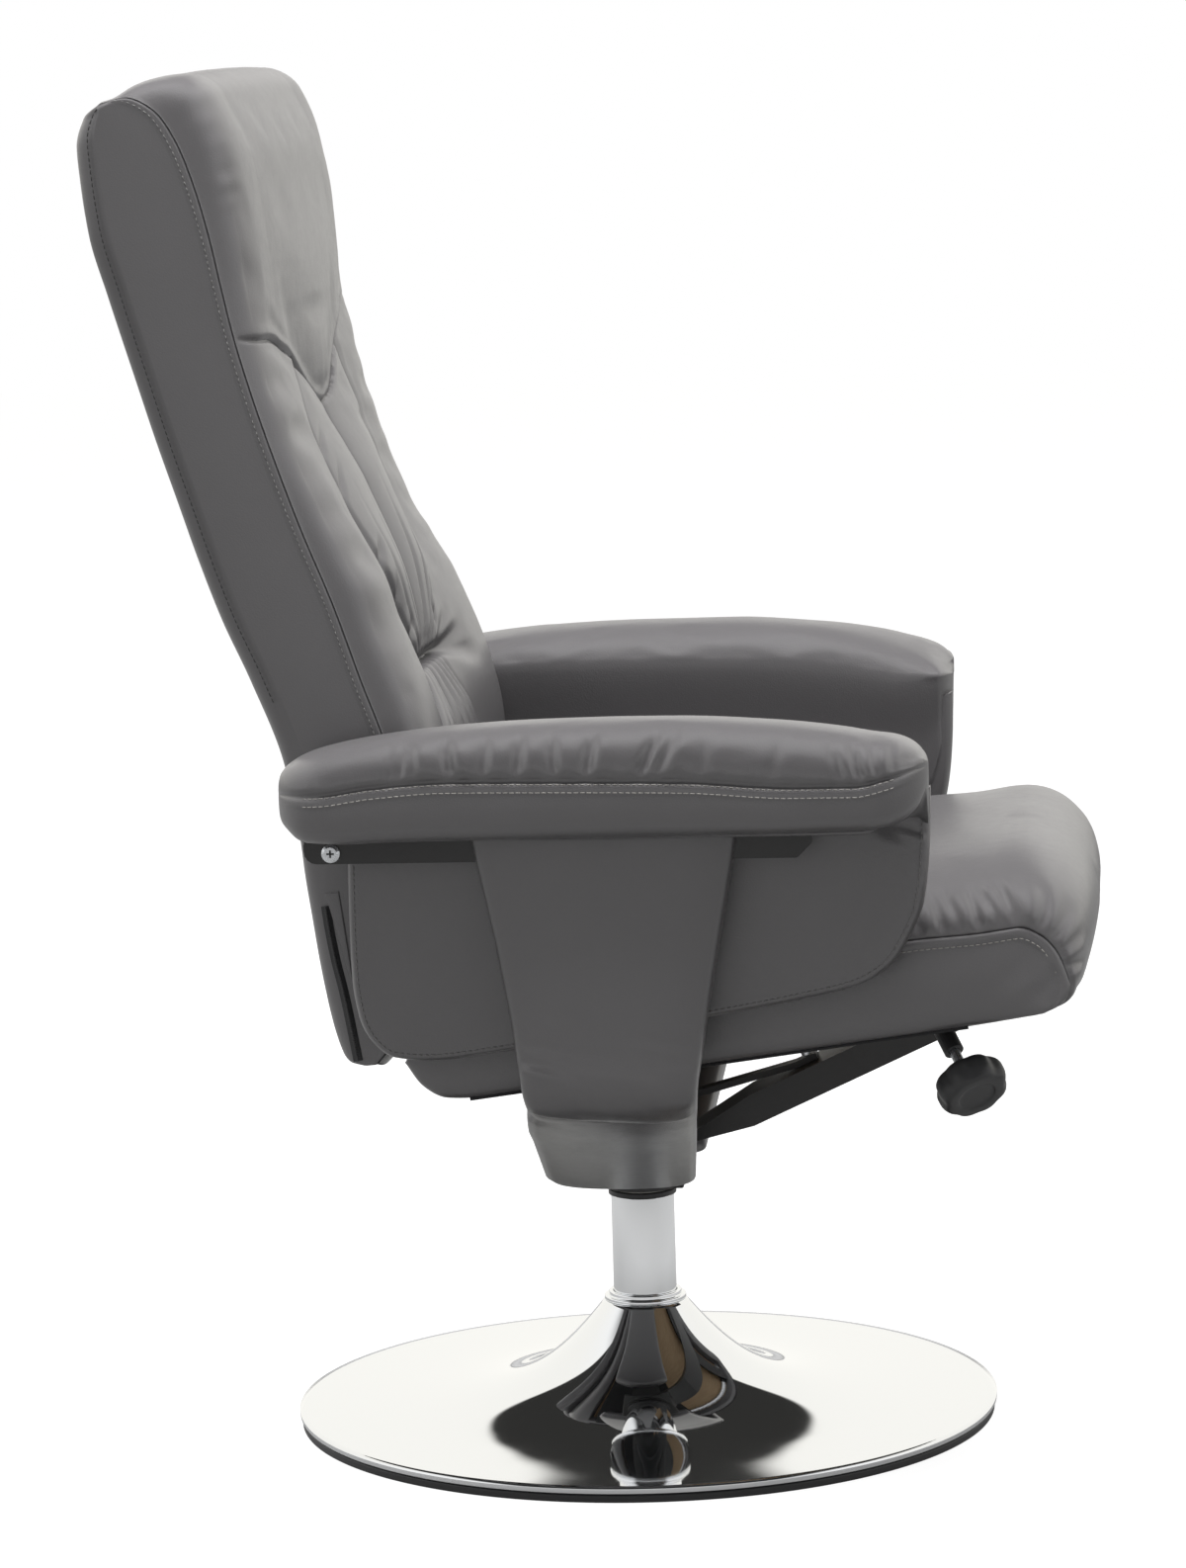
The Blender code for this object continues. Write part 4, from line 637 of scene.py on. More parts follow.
def back_front_points(settings, rows=360, columns=300):
    """The back's front, from its foot over its top: each point of the seam line is moved out along the seam's
    normal. Over the bolsters the move is a swell times a boxy quarter ellipse from the bolster's crest to the
    seam. At their inner edges an S curve falls to the side creases of the centre panel, and from each of
    these a straight line with a flattened half ellipse on it, a roll with fine pleats, runs to the panel's
    middle crease. All of it is drawn in at the lumbar tuft, a short level crease with soft rays. Above its
    lower edge the headrest rises by an S curve to a swell of its own with the same quarter ellipse at its
    sides."""
    seam = closer(through(BACK_FRONT_SEAM, 4 * rows), rows, ((0.845, 0.035, 1.6), (0.600, 0.030, 1.0)))
    along = tangents(seam)
    normal = np.column_stack([along[:, 1], -along[:, 0]])
    travel = arc_length(seam)[:, None]
    share = across(columns)[None, :]
    y = share * settings.half_width
    side = np.abs(y)
    height = seam[:, 1:] + 0 * y
    outer = np.clip((side - settings.crest) / (settings.half_width - settings.crest), 0, 1)
    edge = np.sqrt(1 - outer**4)
    left = ease(y, 0.02, 0.12)
    valley, inner, drop = (smooth(points, height) for points in (PANEL_HALF, INNER_EDGE, PANEL_DROP))
    level = smooth(BOLSTER_SWELL, height) * (1 - 0.12 * left) - 0.88 * smooth(LEFT_LOSS, height) * left
    level = level + 0.004 * (1 - left) * ease(height, 0.645, 0.680) * (1 - ease(height, 0.80, 0.86))
    middle = smooth(CREASE_SWELL, height)
    drop = drop * (1 - 0.6 * left)
    place = np.clip(side / valley, 0, 1)
    floor = middle + (level - drop - middle) * place
    plain = np.where(side < valley, floor, level * edge - drop * (1 - ease(side, valley, inner)))
    roll = np.clip(1 - (2 * place - 1) ** 2, 0, 1) ** 0.6
    body = plain + smooth(ROLL_HEIGHT, height) * roll
    crease_width, tuft_width, tuft_end = 0.0035, 0.0042, 0.052
    crease = (1 - 0.4 * left) * bump(side, valley, crease_width) + bump(y, 0, crease_width)
    body = body - 0.0022 * crease * ease(height, 0.44, 0.52)
    tuft = settings.tuft_height
    fade = ease(height, 0.50, 0.58) * (1 - ease(height, 0.64, 0.76))
    for share_of_panel, depth in PANEL_PLEATS:
        body = body - depth * bump(y - share_of_panel * valley, 0, 0.0036) * fade
    crease = bump(height, tuft, tuft_width) * (1 - ease(side, 0.046, 0.062))
    body = body - settings.tuft_depth * crease
    away = side - tuft_end
    ray_width = tuft_width + 0.05 * np.maximum(away, 0)
    for slope, depth, reach in TUFT_RAYS:
        ray = bump(height - tuft - slope * away, 0, ray_width) * ease(away, -0.010, 0.010)
        body = body - depth * ray * (1 - ease(away, 0.35 * reach, reach))
    for start, lean in CREASE_TUCKS:
        slant = height - start + lean * (side - valley)
        body = body - 0.0030 * bump(slant, 0, 0.0045) * bump(side, valley - 0.010, 0.014)
    waves = ripple(height + 0.015 * np.sign(y), 2.1, 0.047) * bump(side, 0.205, 0.028)
    body = body + 0.0022 * waves * ease(height, 0.62, 0.68)
    hem = headrest_edge(y)
    arch = np.clip(1 - (side / settings.crest) ** 2, 0, 1)
    head = 0.94 * smooth(HEADREST_SWELL, height) * edge + 0.003 * arch
    waves = ripple(height, 4.0, 0.019) * ease(np.abs(share), 0.84, 0.96) * ease(height, 0.93, 0.99)
    head = head + 0.0010 * waves
    head = head + 0.0012 * ripple(travel, 1.0, 0.080) * ripple(y, 3.0, 0.120)
    head = head * (1 - 0.95 * ease(travel, travel[-1] - 0.056, travel[-1] - 0.006))
    over = np.clip((height - hem) / 0.008, 0, 1)
    flush = 1 - 0.85 * ease(side, 0.165, 0.205) * left
    lip = 0.0026 * np.sqrt(1 - (1 - over) ** 2) * edge * flush
    dish = 0.8 * (level - middle) * np.clip(1 - (side / (valley + 0.04)) ** 2, 0, 1) ** 1.5
    dish = dish * (1 - ease(height - hem, 0.002, 0.055))
    cover = level * edge - dish + lip
    raised = cover + (head - cover) * ease(height - hem, -0.02, 0.105)
    offset = np.where(height > hem, raised, body)
    groove = flush * bump(height, hem - 0.0008, 0.0020) * ease(settings.half_width - side, 0, 0.004)
    offset = offset - 0.0024 * groove
    offset = offset * (1 - np.abs(share) ** 60)
    return np.stack([seam[:, :1] + normal[:, :1] * offset, y + 0 * offset,
                     seam[:, 1:] + normal[:, 1:] * offset], axis=-1)


def back_sewn(settings, points):
    """Where the back's front is held: at its edges, along the headrest's lower edge, in the panel's creases
    and at the tuft."""
    side, height = np.abs(points[..., 1]), points[..., 2]
    sewn = side > settings.half_width - 0.010
    sewn[:4] = True
    sewn[-6:] = True
    lift = 0.27 * (points[..., 0] - np.interp(height, *np.array(BACK_FRONT_SEAM[1:-2])[:, ::-1].T))
    sewn |= np.abs(height - lift - headrest_edge(points[..., 1])) < 0.006
    low = (height > 0.56) & (height < 0.84)
    sewn |= low & ((side < 0.004) | (np.abs(side - smooth(PANEL_HALF, height)) < 0.005))
    return sewn | ((np.abs(height - settings.tuft_height) < 0.010) & (side < 0.060))


def capped_sheet(points):
    """Points and faces of a sheet closed behind by straight strips from one side edge to the other."""
    rows, columns = points.shape[:2]
    faces = quads(rows, columns).tolist()
    first = np.arange(rows) * columns
    last = first + columns - 1
    faces += np.stack([first[:-1], last[:-1], last[1:], first[1:]], axis=-1).tolist()
    faces.append(list(range(columns)))
    faces.append(list(range((rows - 1) * columns, rows * columns)))
    return points.reshape(-1, 3), faces


def band_lines(count):
    """The back's front seam and rear edge in side view, the unit line between them and its length."""
    front = through(BACK_FRONT_SEAM, count)
    rear = through(BACK_REAR_EDGE, count)
    reach = front - rear
    width = np.linalg.norm(reach, axis=1, keepdims=True)
    return front, rear, reach / np.maximum(width, 1e-6), width


def back_shell_points(settings, rows=320):
    """The back's sides and rear as a ring at each height: from one front seam along the flat side band, round
    the rear corner as a quarter circle and across the rear, which swells by a parabola. The band has a raised
    seam allowance along the front and a shallow groove under the rear stitching."""
    front, rear, lean, width = band_lines(rows)
    radius = np.minimum(settings.rear_corner, 0.42 * width)
    near = (0, 0.0008, 0.002, 0.0035, 0.006, 0.0085, 0.0095, 0.011)
    distance = np.concatenate([near, np.linspace(0.014, 1, 30)])
    flat = width - radius
    hem = 0.012
    beyond = hem + (flat - hem) * (distance - hem) / 0.988
    away = np.minimum(np.where(distance < hem, np.minimum(distance, flat), beyond), flat)
    side_x = front[:, :1] - lean[:, :1] * away
    side_z = front[:, 1:] - lean[:, 1:] * away
    fade = ease(width, 0.010, 0.040)
    allowance = ease(away, 0.0, 0.0025) * (1 - ease(away, 0.0070, 0.0085)) * 0.0007
    groove = -0.0006 * bump(width - away, settings.rear_stitch, 0.0014)
    swell = settings.band_swell * np.sin(math.pi * np.clip(away / np.maximum(width, 1e-6), 0, 1))
    swell = swell * ease(front[:, 1:], 0.46, 0.56)
    outward = -0.0020 * bump(away, 0, 0.0012) + (allowance + groove + swell) * fade
    side_y = settings.half_width + outward
    turn = np.linspace(0, math.pi / 2, 10)[None, 1:]
    centre_x = rear[:, :1] + lean[:, :1] * radius
    centre_z = rear[:, 1:] + lean[:, 1:] * radius
    corner_x = centre_x - lean[:, :1] * radius * np.sin(turn)
    corner_z = centre_z - lean[:, 1:] * radius * np.sin(turn)
    corner_y = settings.half_width - radius * (1 - np.cos(turn))
    end_y = settings.half_width - radius
    middle = np.linspace(1, -1, 41)[None, 1:-1]
    rear_swell = settings.rear_swell * (1 - middle**2) * fade
    rear_x = rear[:, :1] - lean[:, :1] * rear_swell
    rear_z = rear[:, 1:] - lean[:, 1:] * rear_swell
    rear_y = end_y * middle
    half = np.stack([np.hstack([side_x, corner_x]), np.hstack([side_y, corner_y]),
                     np.hstack([side_z, corner_z])], axis=-1)
    flip = half[:, ::-1] * (1, -1, 1)
    across_rear = np.stack([rear_x, rear_y, rear_z], axis=-1)
    return np.concatenate([half, across_rear, flip], axis=1)


class RECLINER_OT_back(bpy.types.Operator):
    """Builds the back's front cushion and headrest, its side bands and rear, their stitching and the zips"""

    bl_idname = "recliner.back"
    bl_label = "Back"

    def execute(self, context):
        settings = context.scene.recliner_back
        sewing = context.scene.recliner_stitching
        points = back_front_points(settings)
        coarse = back_front_points(settings, rows=110, columns=72)
        moves = settled(coarse, back_sewn(settings, coarse), (1, 0, 0.3), settings.slack,
                        settings.fold_cap)
        points = points + spread(moves, *points.shape[:2])
        front = piece("back_front", capped_sheet(points), "back", "grey_leather", ["back_cushion"])
        shell = piece("back_shell", loft(back_shell_points(settings)), "back", "grey_leather", ["back_cover"])
        seam, rear, lean, width = band_lines(400)
        keep = (width[:, 0] > 0.03) & (seam[:, 1] > 0.36)
        front_line = seam - lean * 0.0058
        rear_line = rear + lean * settings.rear_stitch
        # The rear rows take the thread painted darker as the shade of their sunk stitches; the front rows
        # take the grey copy
        lines = (("back_front_stitching", "grey_thread", front_line, 0.0014, seam[:, 1] > 0.50),
                 ("back_rear_stitching", "painted_shade_thread", rear_line, 0.0012, rear[:, 1] > 0.60))
        for name, thread, line, out, high in lines:
            shown = keep & high
            rows = []
            for side in (-1, 1):
                path = beside(line[shown], side * (settings.half_width + out))
                rows.append(stitches(path, side, sewing))
            piece(name, together(rows), "back", "grey_leather", thread=thread)
        self.add_zips(settings)
        return {"FINISHED"}

    def add_zips(self, settings):
        """A zip in each side's lower end: a tape with a toothed ridge along it, and the flap at its top."""
        line = through(ZIP_LINE, 420)
        along = arc_length(line)[:, None]
        across_tape = np.array((-3.7, -3.5, -1.3, -1.0, -0.5, 0.0, 0.5, 1.0, 1.3, 3.5, 3.7, 0.0)) / 1000
        height = np.array((-0.6, 0.5, 0.7, 1.3, 1.8, 1.9, 1.8, 1.3, 0.7, 0.5, -0.6, -0.8)) / 1000
        ridge = np.array((0, 0, 0, 1, 1, 1, 1, 1, 0, 0, 0, 0))
        tooth = 1 - 0.22 * ridge * (1 + np.cos(math.tau * along / 0.0018)) / 2
        tape = np.stack([across_tape + 0 * along, height * tooth], axis=-1)
        start = np.array((-0.2058, 0.4604))
        down = np.linspace(0, 1, 60)[:, None]
        spine = start + (np.array((-0.1932, 0.3950)) - start) * down
        half = 0.0049 * (1 - down) ** 0.8 + 0.0004
        turn = np.linspace(0, math.tau, 20, endpoint=False)[None, :]
        wide = np.sign(np.cos(turn)) * np.abs(np.cos(turn)) ** 0.5
        thick = np.sign(np.sin(turn)) * np.abs(np.sin(turn)) ** 0.5
        flap = np.stack([half * wide, 0.0011 * thick + 0 * half], axis=-1)
        for tag, side in SIDES:
            sewn = beside(line, side * settings.half_width)
            piece("zip_" + tag, loft(swept(sewn, side, tape)), "back", "black_plastic", ["cover_zip_" + tag])
            edge = beside(spine + (0.0040, 0), side * (settings.half_width + 0.0004))
            piece("zip_flap_" + tag, loft(swept(edge, side, flap)), "back", "grey_leather")


def to_world(points):
    """Points of the seat's own frame, which is level along X, in the chair's frame: tilted, then lifted."""
    cosine, sine = math.cos(SEAT_TILT), math.sin(SEAT_TILT)
    turn = np.array(((cosine, 0, -sine), (0, 1, 0), (sine, 0, cosine)))
    return points @ turn.T + (0, 0, SEAT_LIFT)


def seat_rings(settings, rows=300):
    """The seat as rings from rear to front. Its top is moved out along the side seam's normal by a swell
    times a fourth-power ellipse across, so it rolls over the front edge with the seam. Gathers press in the
    front of the seam, from above and from the side. Below it the side bands go straight down, turn under with
    a small round, and meet the hollow."""
    seam = through(SEAT_SEAM, rows)
    foot = through(SEAT_FOOT, rows)
    along = tangents(seam)
    normal = np.column_stack([-along[:, 1], along[:, 0]])
    share = across(SEAT_TOP + 2)[None, :]
    y = share * settings.half_width
    place = seam[:, :1]
    edge = np.sqrt(1 - share**4)
    travel = arc_length(seam)[:, None]
    left = travel[-1] - travel
    swell = settings.crown * ease(left, 0.0, 0.088) * (0.45 + 0.55 * ease(travel, 0.0, 0.09))
    gathers = 0
    for start, lean, depth in SEAT_GATHERS:
        past = start - left
        gathers = gathers - depth * bump(past + lean * (1 - np.abs(share)) * 0.25, 0, 0.0045)
        gathers = gathers + 0.5 * depth * bump(past - 0.011, 0, 0.0065)
    gathers = gathers * ease(np.abs(share), 0.84, 0.97)
    soft = ripple(travel, 0.7, 0.11) * ripple(y, 2.0, 0.19)
    offset = (swell + 0.0050 * gathers + 0.0012 * soft) * edge - 0.0025 * bump(np.abs(share), 1, 0.004)
    tucked = y + np.sign(share) * 0.0044 * gathers * ease(1 - np.abs(share), 0.0, 0.007)
    top = np.stack([place + normal[:, :1] * offset, tucked, seam[:, 1:] + normal[:, 1:] * offset], axis=-1)
    drop = np.concatenate([[0.0, 0.01, 0.025, 0.05, 0.08, 0.11, 0.14], np.linspace(0.18, 1, 22)])[None, :]
    reach = foot - seam
    depth = np.linalg.norm(reach, axis=1, keepdims=True)
    away = drop * depth
    fade = ease(depth, 0.006, 0.030)
    allowance = 0.0012 * ease(away, 0.0005, 0.003) * (1 - ease(away, 0.0085, 0.0105))
    swell_side = settings.side_swell * np.sin(math.pi * drop) * fade
    under = settings.under_round * (1 - np.sqrt(1 - np.clip((drop - 0.75) / 0.25, 0, 1) ** 2)) * fade
    dimples = 0.0016 * ripple(travel, 3.1, 0.045) * bump(left, 0.04, 0.05) * bump(drop, 0.3, 0.3)
    groove = 0.0025 * bump(away, 0, 0.002)
    side_y = settings.half_width - groove + (allowance + dimples) * fade + swell_side - under
    left_side = np.stack([seam[:, :1] + reach[:, :1] * drop, side_y, seam[:, 1:] + reach[:, 1:] * drop],
                         axis=-1)
    right_side = left_side[:, ::-1] * (1, -1, 1)
    inner = settings.hollow_half
    hollow = settings.hollow_depth * ease(foot[:, :1], -0.107, -0.105) * (1 - ease(foot[:, :1], 0.300, 0.302))
    lip = inner + 0.004
    under_y = np.array((lip, inner, inner - 0.0005, 0, 0.0005 - inner, -inner, -lip))[None, :]
    raised = np.array((0, 0, 1, 1, 1, 0, 0))[None, :]
    base = np.stack([foot[:, :1] + 0 * under_y, under_y + 0 * foot[:, :1], foot[:, 1:] + hollow * raised],
                    axis=-1)
    return to_world(np.concatenate([top[:, 1:-1], left_side, base, right_side], axis=1))


def dust_cloth_rings(settings):
    """The black cloth under the rear of the seat as flat rings from rear to front. It hangs below the seat's
    foot by a bell curve along and a sixth-power arch across, with shallow waves, and is one millimetre
    thick."""
    low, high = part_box("dust_cover")
    place = np.linspace(low.x + 0.016, high.x - 0.004, 90)[:, None]
    y = across(61)[None, :] * (high.y - 0.001)
    sag = (0.0020 + settings.sag * bump(place, -0.070, 0.055)) * (1 - (y / high.y) ** 6)
    sag = sag + 0.0008 * ripple(place, 0.6, 0.05) * ripple(y, 1.4, 0.11) * (1 - (y / high.y) ** 2)
    under = np.stack([place + 0 * y, y + 0 * place, -0.0006 - sag], axis=-1)
    over = under[:, ::-1] + (0, 0, 0.0010)
    return to_world(np.concatenate([under, over], axis=1))


class RECLINER_OT_seat(bpy.types.Operator):
    """Builds the seat cushion, its stitching, the tapes along its foot and the black cloth under it"""

    bl_idname = "recliner.seat"
    bl_label = "Seat"

    def execute(self, context):
        settings = context.scene.recliner_seat
        sewing = context.scene.recliner_stitching
        rings = seat_rings(settings)
        coarse = seat_rings(settings, rows=84)[:, :SEAT_TOP:2]
        sewn = np.zeros(coarse.shape[:2], bool)
        sewn[:4] = sewn[-3:] = sewn[:, :3] = sewn[:, -3:] = True
        moves = settled(coarse, sewn, (0, 0, 1), settings.slack, settings.fold_cap)
        rings[:, :SEAT_TOP] += spread(moves, len(rings), SEAT_TOP)
        cushion = piece("seat_pad", loft(rings), "seat", "grey_leather", ["seat_cushion"])
        seam = through(SEAT_SEAM, 400)
        along = tangents(seam)
        inwards = np.column_stack([along[:, 1], -along[:, 0]])
        line = seam + inwards * 0.0088
        keep = seam[:, 0] > -0.08
        rows = []
        for side in (-1, 1):
            path = to_world(beside(line[keep], side * (settings.half_width + 0.0016)))
            rows.append(stitches(path, side, sewing))
        # The thread here is the lighter copy, painted light for stitches lit from above
        piece("seat_stitching", together(rows), "seat", "grey_leather", thread="thread")
        turn = np.linspace(0, math.tau, 10, endpoint=False)
        cord = 0.0015 * np.column_stack([np.cos(turn), np.sin(turn)])
        place = np.linspace(-0.105, 0.270, 120)
        foot = np.column_stack([place, np.full(len(place), -0.0002)])
        for tag, side in SIDES:
            edge = beside(foot, side * (settings.half_width - 0.0085))
            rings = swept(to_world(edge), side, cord)
            piece("seat_tape_" + tag, loft(rings), "seat", "black_cloth")
        piece("dust_cloth", loft(dust_cloth_rings(settings)), "seat", "black_cloth", ["dust_cover"])
        return {"FINISHED"}


def end_round(distance, radius):
    """Share of a pad's full width at this distance from an end rounded by an ellipse of power 2.2."""
    return np.sqrt(1 - np.clip(1 - distance / radius, 0, 1) ** 2.2)


def arm_rings(settings, side, rows=300):
    """An arm pad as rings from its rear end to its front end. Each ring is a superellipse from the inner side
    over the crest down to the outer seam, then the skirt, a small round and the flat underside, and on the
    inner side a fall of leather that lies on the side panel. The plan is drawn in at both ends by an ellipse.
    Over the seam stand gathers, narrow bell-shaped valleys that fade towards the crest. The left arm's front
    end droops more."""
    t = np.linspace(0, math.pi, rows)[:, None]
    ends = (ARM_CREST[0][0], ARM_CREST[-1][0])
    x = (ends[0] + ends[1]) / 2 - (ends[1] - ends[0]) / 2 * np.cos(t)
    crest, seam, foot = (smooth(points, x) for points in (ARM_CREST, ARM_SEAM, ARM_FOOT))
    rear = end_round(x - ends[0], settings.rear_round)
    full = np.maximum(rear * end_round(ends[1] - x, settings.front_round), 0.01)
    width = settings.width / 2 * full
    boxy = np.maximum(rear * end_round(ends[1] - x, settings.inner_round), 0.01)
    turn = np.linspace(0, math.pi, ARM_ARC)[None, :]
    power = 2 / 2.7
    across_arc = np.sign(np.cos(turn)) * np.abs(np.cos(turn)) ** power
    rise = np.sin(turn) ** power
    outer = ease(-across_arc, -0.1, 0.7)
    level = seam + (crest - seam) * rise
    valley = 0
    for place, lean, depth in ARM_GATHERS:
        away = x - place - lean * (level - seam)
        valley = valley + depth * bump(away, 0, 0.0042) - 0.45 * depth * bump(away, 0.010, 0.0060)
    valley = valley * outer * ease(rise, 0.03, 0.30) * (1 - ease(rise, 0.55, 0.97))
    pucker = 0.35 * ripple(x, 1.7 + side, 0.011) * outer * bump(rise, 0.16, 0.16)
    fold = ripple(level, 0.9, 0.014) * ease(x, ends[1] - 0.030, ends[1] - 0.010)
    tuck = 0.9 * bump(rise, 0, 0.10) * outer
    press = settings.gather_depth * (valley + 0.3 * pucker + tuck) - 0.0010 * fold
    inwards = settings.width / 2 * (full + (boxy - full) * ease(across_arc, -0.2, 0.6))
    arc_y = across_arc * (inwards - press * full)
    worn = 1.0 if side > 0 else 0.25
    droop = settings.droop * worn * ease(x, 0.120, 0.225)
    tilt = settings.tilt * (0.03 - arc_y) * rise * full * (1 - ease(x, 0.05, 0.20))
    arc_z = level - press * rise * 0.8 + tilt
    arc_z = arc_z - droop * ease(across_arc, -0.5, 0.9) - 0.004 * worn * ease(x, 0.14, 0.23) * rise
    arc_z = arc_z + 0.0036 * (1 - worn) * bump(x, 0.224, 0.016) * rise
    arc = np.stack([x + 0 * arc_y, arc_y, arc_z], axis=-1)
    drop = np.linspace(0, 1, 34)[None, 1:]
    away = drop * (seam - foot)
    allowance = 0.0005 * ease(away, 0.0, 0.0020) * (1 - ease(away, 0.0070, 0.0085))
    turn_in = 0.013 * (1 - np.sqrt(1 - np.clip((drop - 0.68) / 0.32, 0, 1) ** 2))
    sway = 0.0010 * ripple(x, 2.7, 0.09) * drop
    skirt_y = -width + (0.0016 * bump(away, 0, 0.0016) - allowance + turn_in + 0.004 * drop**2 + sway
                        - 0.0015 * np.sin(math.pi * drop)) * full
    skirt = np.stack([x + 0 * skirt_y, skirt_y, seam - away], axis=-1)
    flap = settings.middle - settings.flap_face
    flat = ease(x, -0.200, -0.180) * (1 - ease(x, 0.196, 0.212))
    base = foot - (foot - settings.underside) * flat
    inner_flat = np.maximum(flat, ease(x, 0.0, 0.1) * ease(boxy, 0.15, 0.5))
    inner_base = foot - (foot - settings.underside) * inner_flat
    under_y = np.array((-0.72, -0.66, 0.66, (flap - 0.006) / settings.width * 2))[None, :] * width
    under_z = base + (foot - base) * np.array((1.0, 0.0, 0.0, 0.0))[None, :]
    under_z = under_z + (inner_base - base) * np.array((0.0, 0.0, 0.8, 1.0))[None, :]
    under = np.stack([x + 0 * under_y, under_y, under_z], axis=-1)
    hang = ease(x, -0.172, -0.120) * (1 - ease(x, 0.222, 0.2425))
    low = inner_base + (settings.flap_foot - inner_base) * hang
    flap_y = np.array((flap - 0.006, flap - 0.003, flap, flap, flap))[None, :] * boxy
    flap_z = low + np.array((0.004, 0.0, 0.004, 0.012, 0.024))[None, :] * (0.1 + 0.9 * hang) * full
    fall = np.stack([x + 0 * flap_y, flap_y, flap_z], axis=-1)
    climb = np.linspace(0, 1, 18)[None, :-1]
    inner_y = (flap + (settings.width / 2 - flap) * ease(climb, 0.25, 1.0)) * boxy
    inner = np.stack([x + 0 * inner_y, inner_y, flap_z[:, -1:] + (seam - droop - flap_z[:, -1:]) * climb],
                     axis=-1)
    ring = np.concatenate([arc, skirt, under, fall, inner[:, 1:]], axis=1)
    return np.stack([ring[..., 0], side * (settings.middle - ring[..., 1]), ring[..., 2]], axis=-1)


class RECLINER_OT_arms(bpy.types.Operator):
    """Builds both arm pads with their gathers, seams and stitching"""

    bl_idname = "recliner.arms"
    bl_label = "Arms"

    def execute(self, context):
        settings = context.scene.recliner_arms
        sewing = context.scene.recliner_stitching
        rows = []
        for tag, side in SIDES:
            rings = arm_rings(settings, side)
            coarse = arm_rings(settings, side, rows=110)[:, :ARM_ARC:2]
            sewn = np.zeros(coarse.shape[:2], bool)
            sewn[:11] = sewn[-11:] = sewn[:, :4] = sewn[:, -4:] = True
            moves = settled(coarse, sewn, (0, 0, 1), settings.slack, settings.fold_cap)
            rings[:, :ARM_ARC] += spread(moves, len(rings), ARM_ARC)
            pad = piece("arm_top_" + tag, loft(rings), "yoke", "grey_leather", ["arm_pad_" + tag])
            x = np.linspace(-0.205, 0.222, 300)
            full = end_round(x - ARM_CREST[0][0], settings.rear_round)
            full = full * end_round(ARM_CREST[-1][0] - x, settings.front_round)
            for drop, out in ((0.0068, 0.0014), (0.0012, -0.0004)):
                line = np.column_stack([x, smooth(ARM_SEAM, x) - drop])
                path = beside(line, side * (settings.middle + (settings.width / 2 + out) * full))
                rows.append(stitches(path, side, sewing))
        # The thread here is the lighter copy, painted light for stitches lit from above
        piece("arm_stitching", together(rows), "yoke", "grey_leather", thread="thread")
        return {"FINISHED"}


def edge_distance(x, z, outline):
    """Distance from points to an outline: square to the two stretches that meet at its nearest point."""
    points = np.stack([x, z], axis=-1)
    near = np.argmin(np.hypot(x[..., None] - outline[:, 0], z[..., None] - outline[:, 1]), axis=-1)
    near = np.clip(near, 1, len(outline) - 2)
    start = np.stack([outline[near - 1], outline[near]])
    reach = np.stack([outline[near], outline[near + 1]]) - start
    share = np.clip(np.sum((points - start) * reach, axis=-1) / np.sum(reach**2, axis=-1), 0, 1)
    return np.min(np.linalg.norm(points - start - share[..., None] * reach, axis=-1), axis=0)


def panel_faces(settings, side):
    """The side panel as two grids of columns between its lower outline and its straight top. Their distance
    from its middle plane follows a quarter ellipse of the distance to the outline, with a shallow groove
    under the stitching, and on the outer face a slanting fold and small wrinkles at the top front. The grids
    meet along the outline, and a strip closes the top."""
    outline = through(PANEL_OUTLINE, 400)
    place = np.linspace(0, 1, 181)
    place = place - np.sin(math.tau * place) / math.tau * 0.85
    x = outline[0, 0] + (outline[-1, 0] - outline[0, 0]) * place[:, None]
    low = np.interp(x, outline[:, 0], outline[:, 1])
    top = np.interp(x, *np.array(PANEL_TOP).T)
    rise = (1 - np.cos(np.linspace(0, math.pi, 81)))[None, :] / 2
    z = low + (top - low) * rise
    x = x + 0 * z
    gap = edge_distance(x, z, outline[::2])
    gap[:, 0] = 0
    gap[0] = 0
    gap[-1] = 0
    shoulder = np.sqrt(1 - (1 - np.clip(gap / settings.edge, 0, 1)) ** 2)
    press = -0.0003 * bump(gap, settings.stitch_inset, 0.0014)
    ahead, above = x - 0.214, z - 0.512
    fold = -0.0040 * bump(0.47 * ahead + 0.88 * above, 0, 0.009) * bump(0.88 * ahead - 0.47 * above, 0, 0.022)
    fold = fold + 0.0013 * ripple(z + 0.4 * x, 1.1, 0.016) * ease(x, 0.205, 0.232) * ease(z, 0.44, 0.50)
    puff = settings.swell * ease(gap, 0.004, 0.060)
    height = settings.thickness / 2 * shoulder + (press + fold) * ease(gap, 0.0, 0.004) + puff
    outer = np.stack([x, settings.middle + height, z], axis=-1)
    inner = np.stack([x, settings.middle - height + fold * ease(gap, 0.0, 0.004), z], axis=-1)
    points = np.concatenate([outer.reshape(-1, 3), inner.reshape(-1, 3)]) * (1, side, 1)
    sheet = quads(*x.shape)
    rim = np.arange(x.shape[0]) * x.shape[1] + x.shape[1] - 1
    lid = np.stack([rim[:-1], rim[1:], rim[1:] + x.size, rim[:-1] + x.size], axis=-1)
    return points, np.concatenate([sheet, sheet + x.size, lid]).tolist()


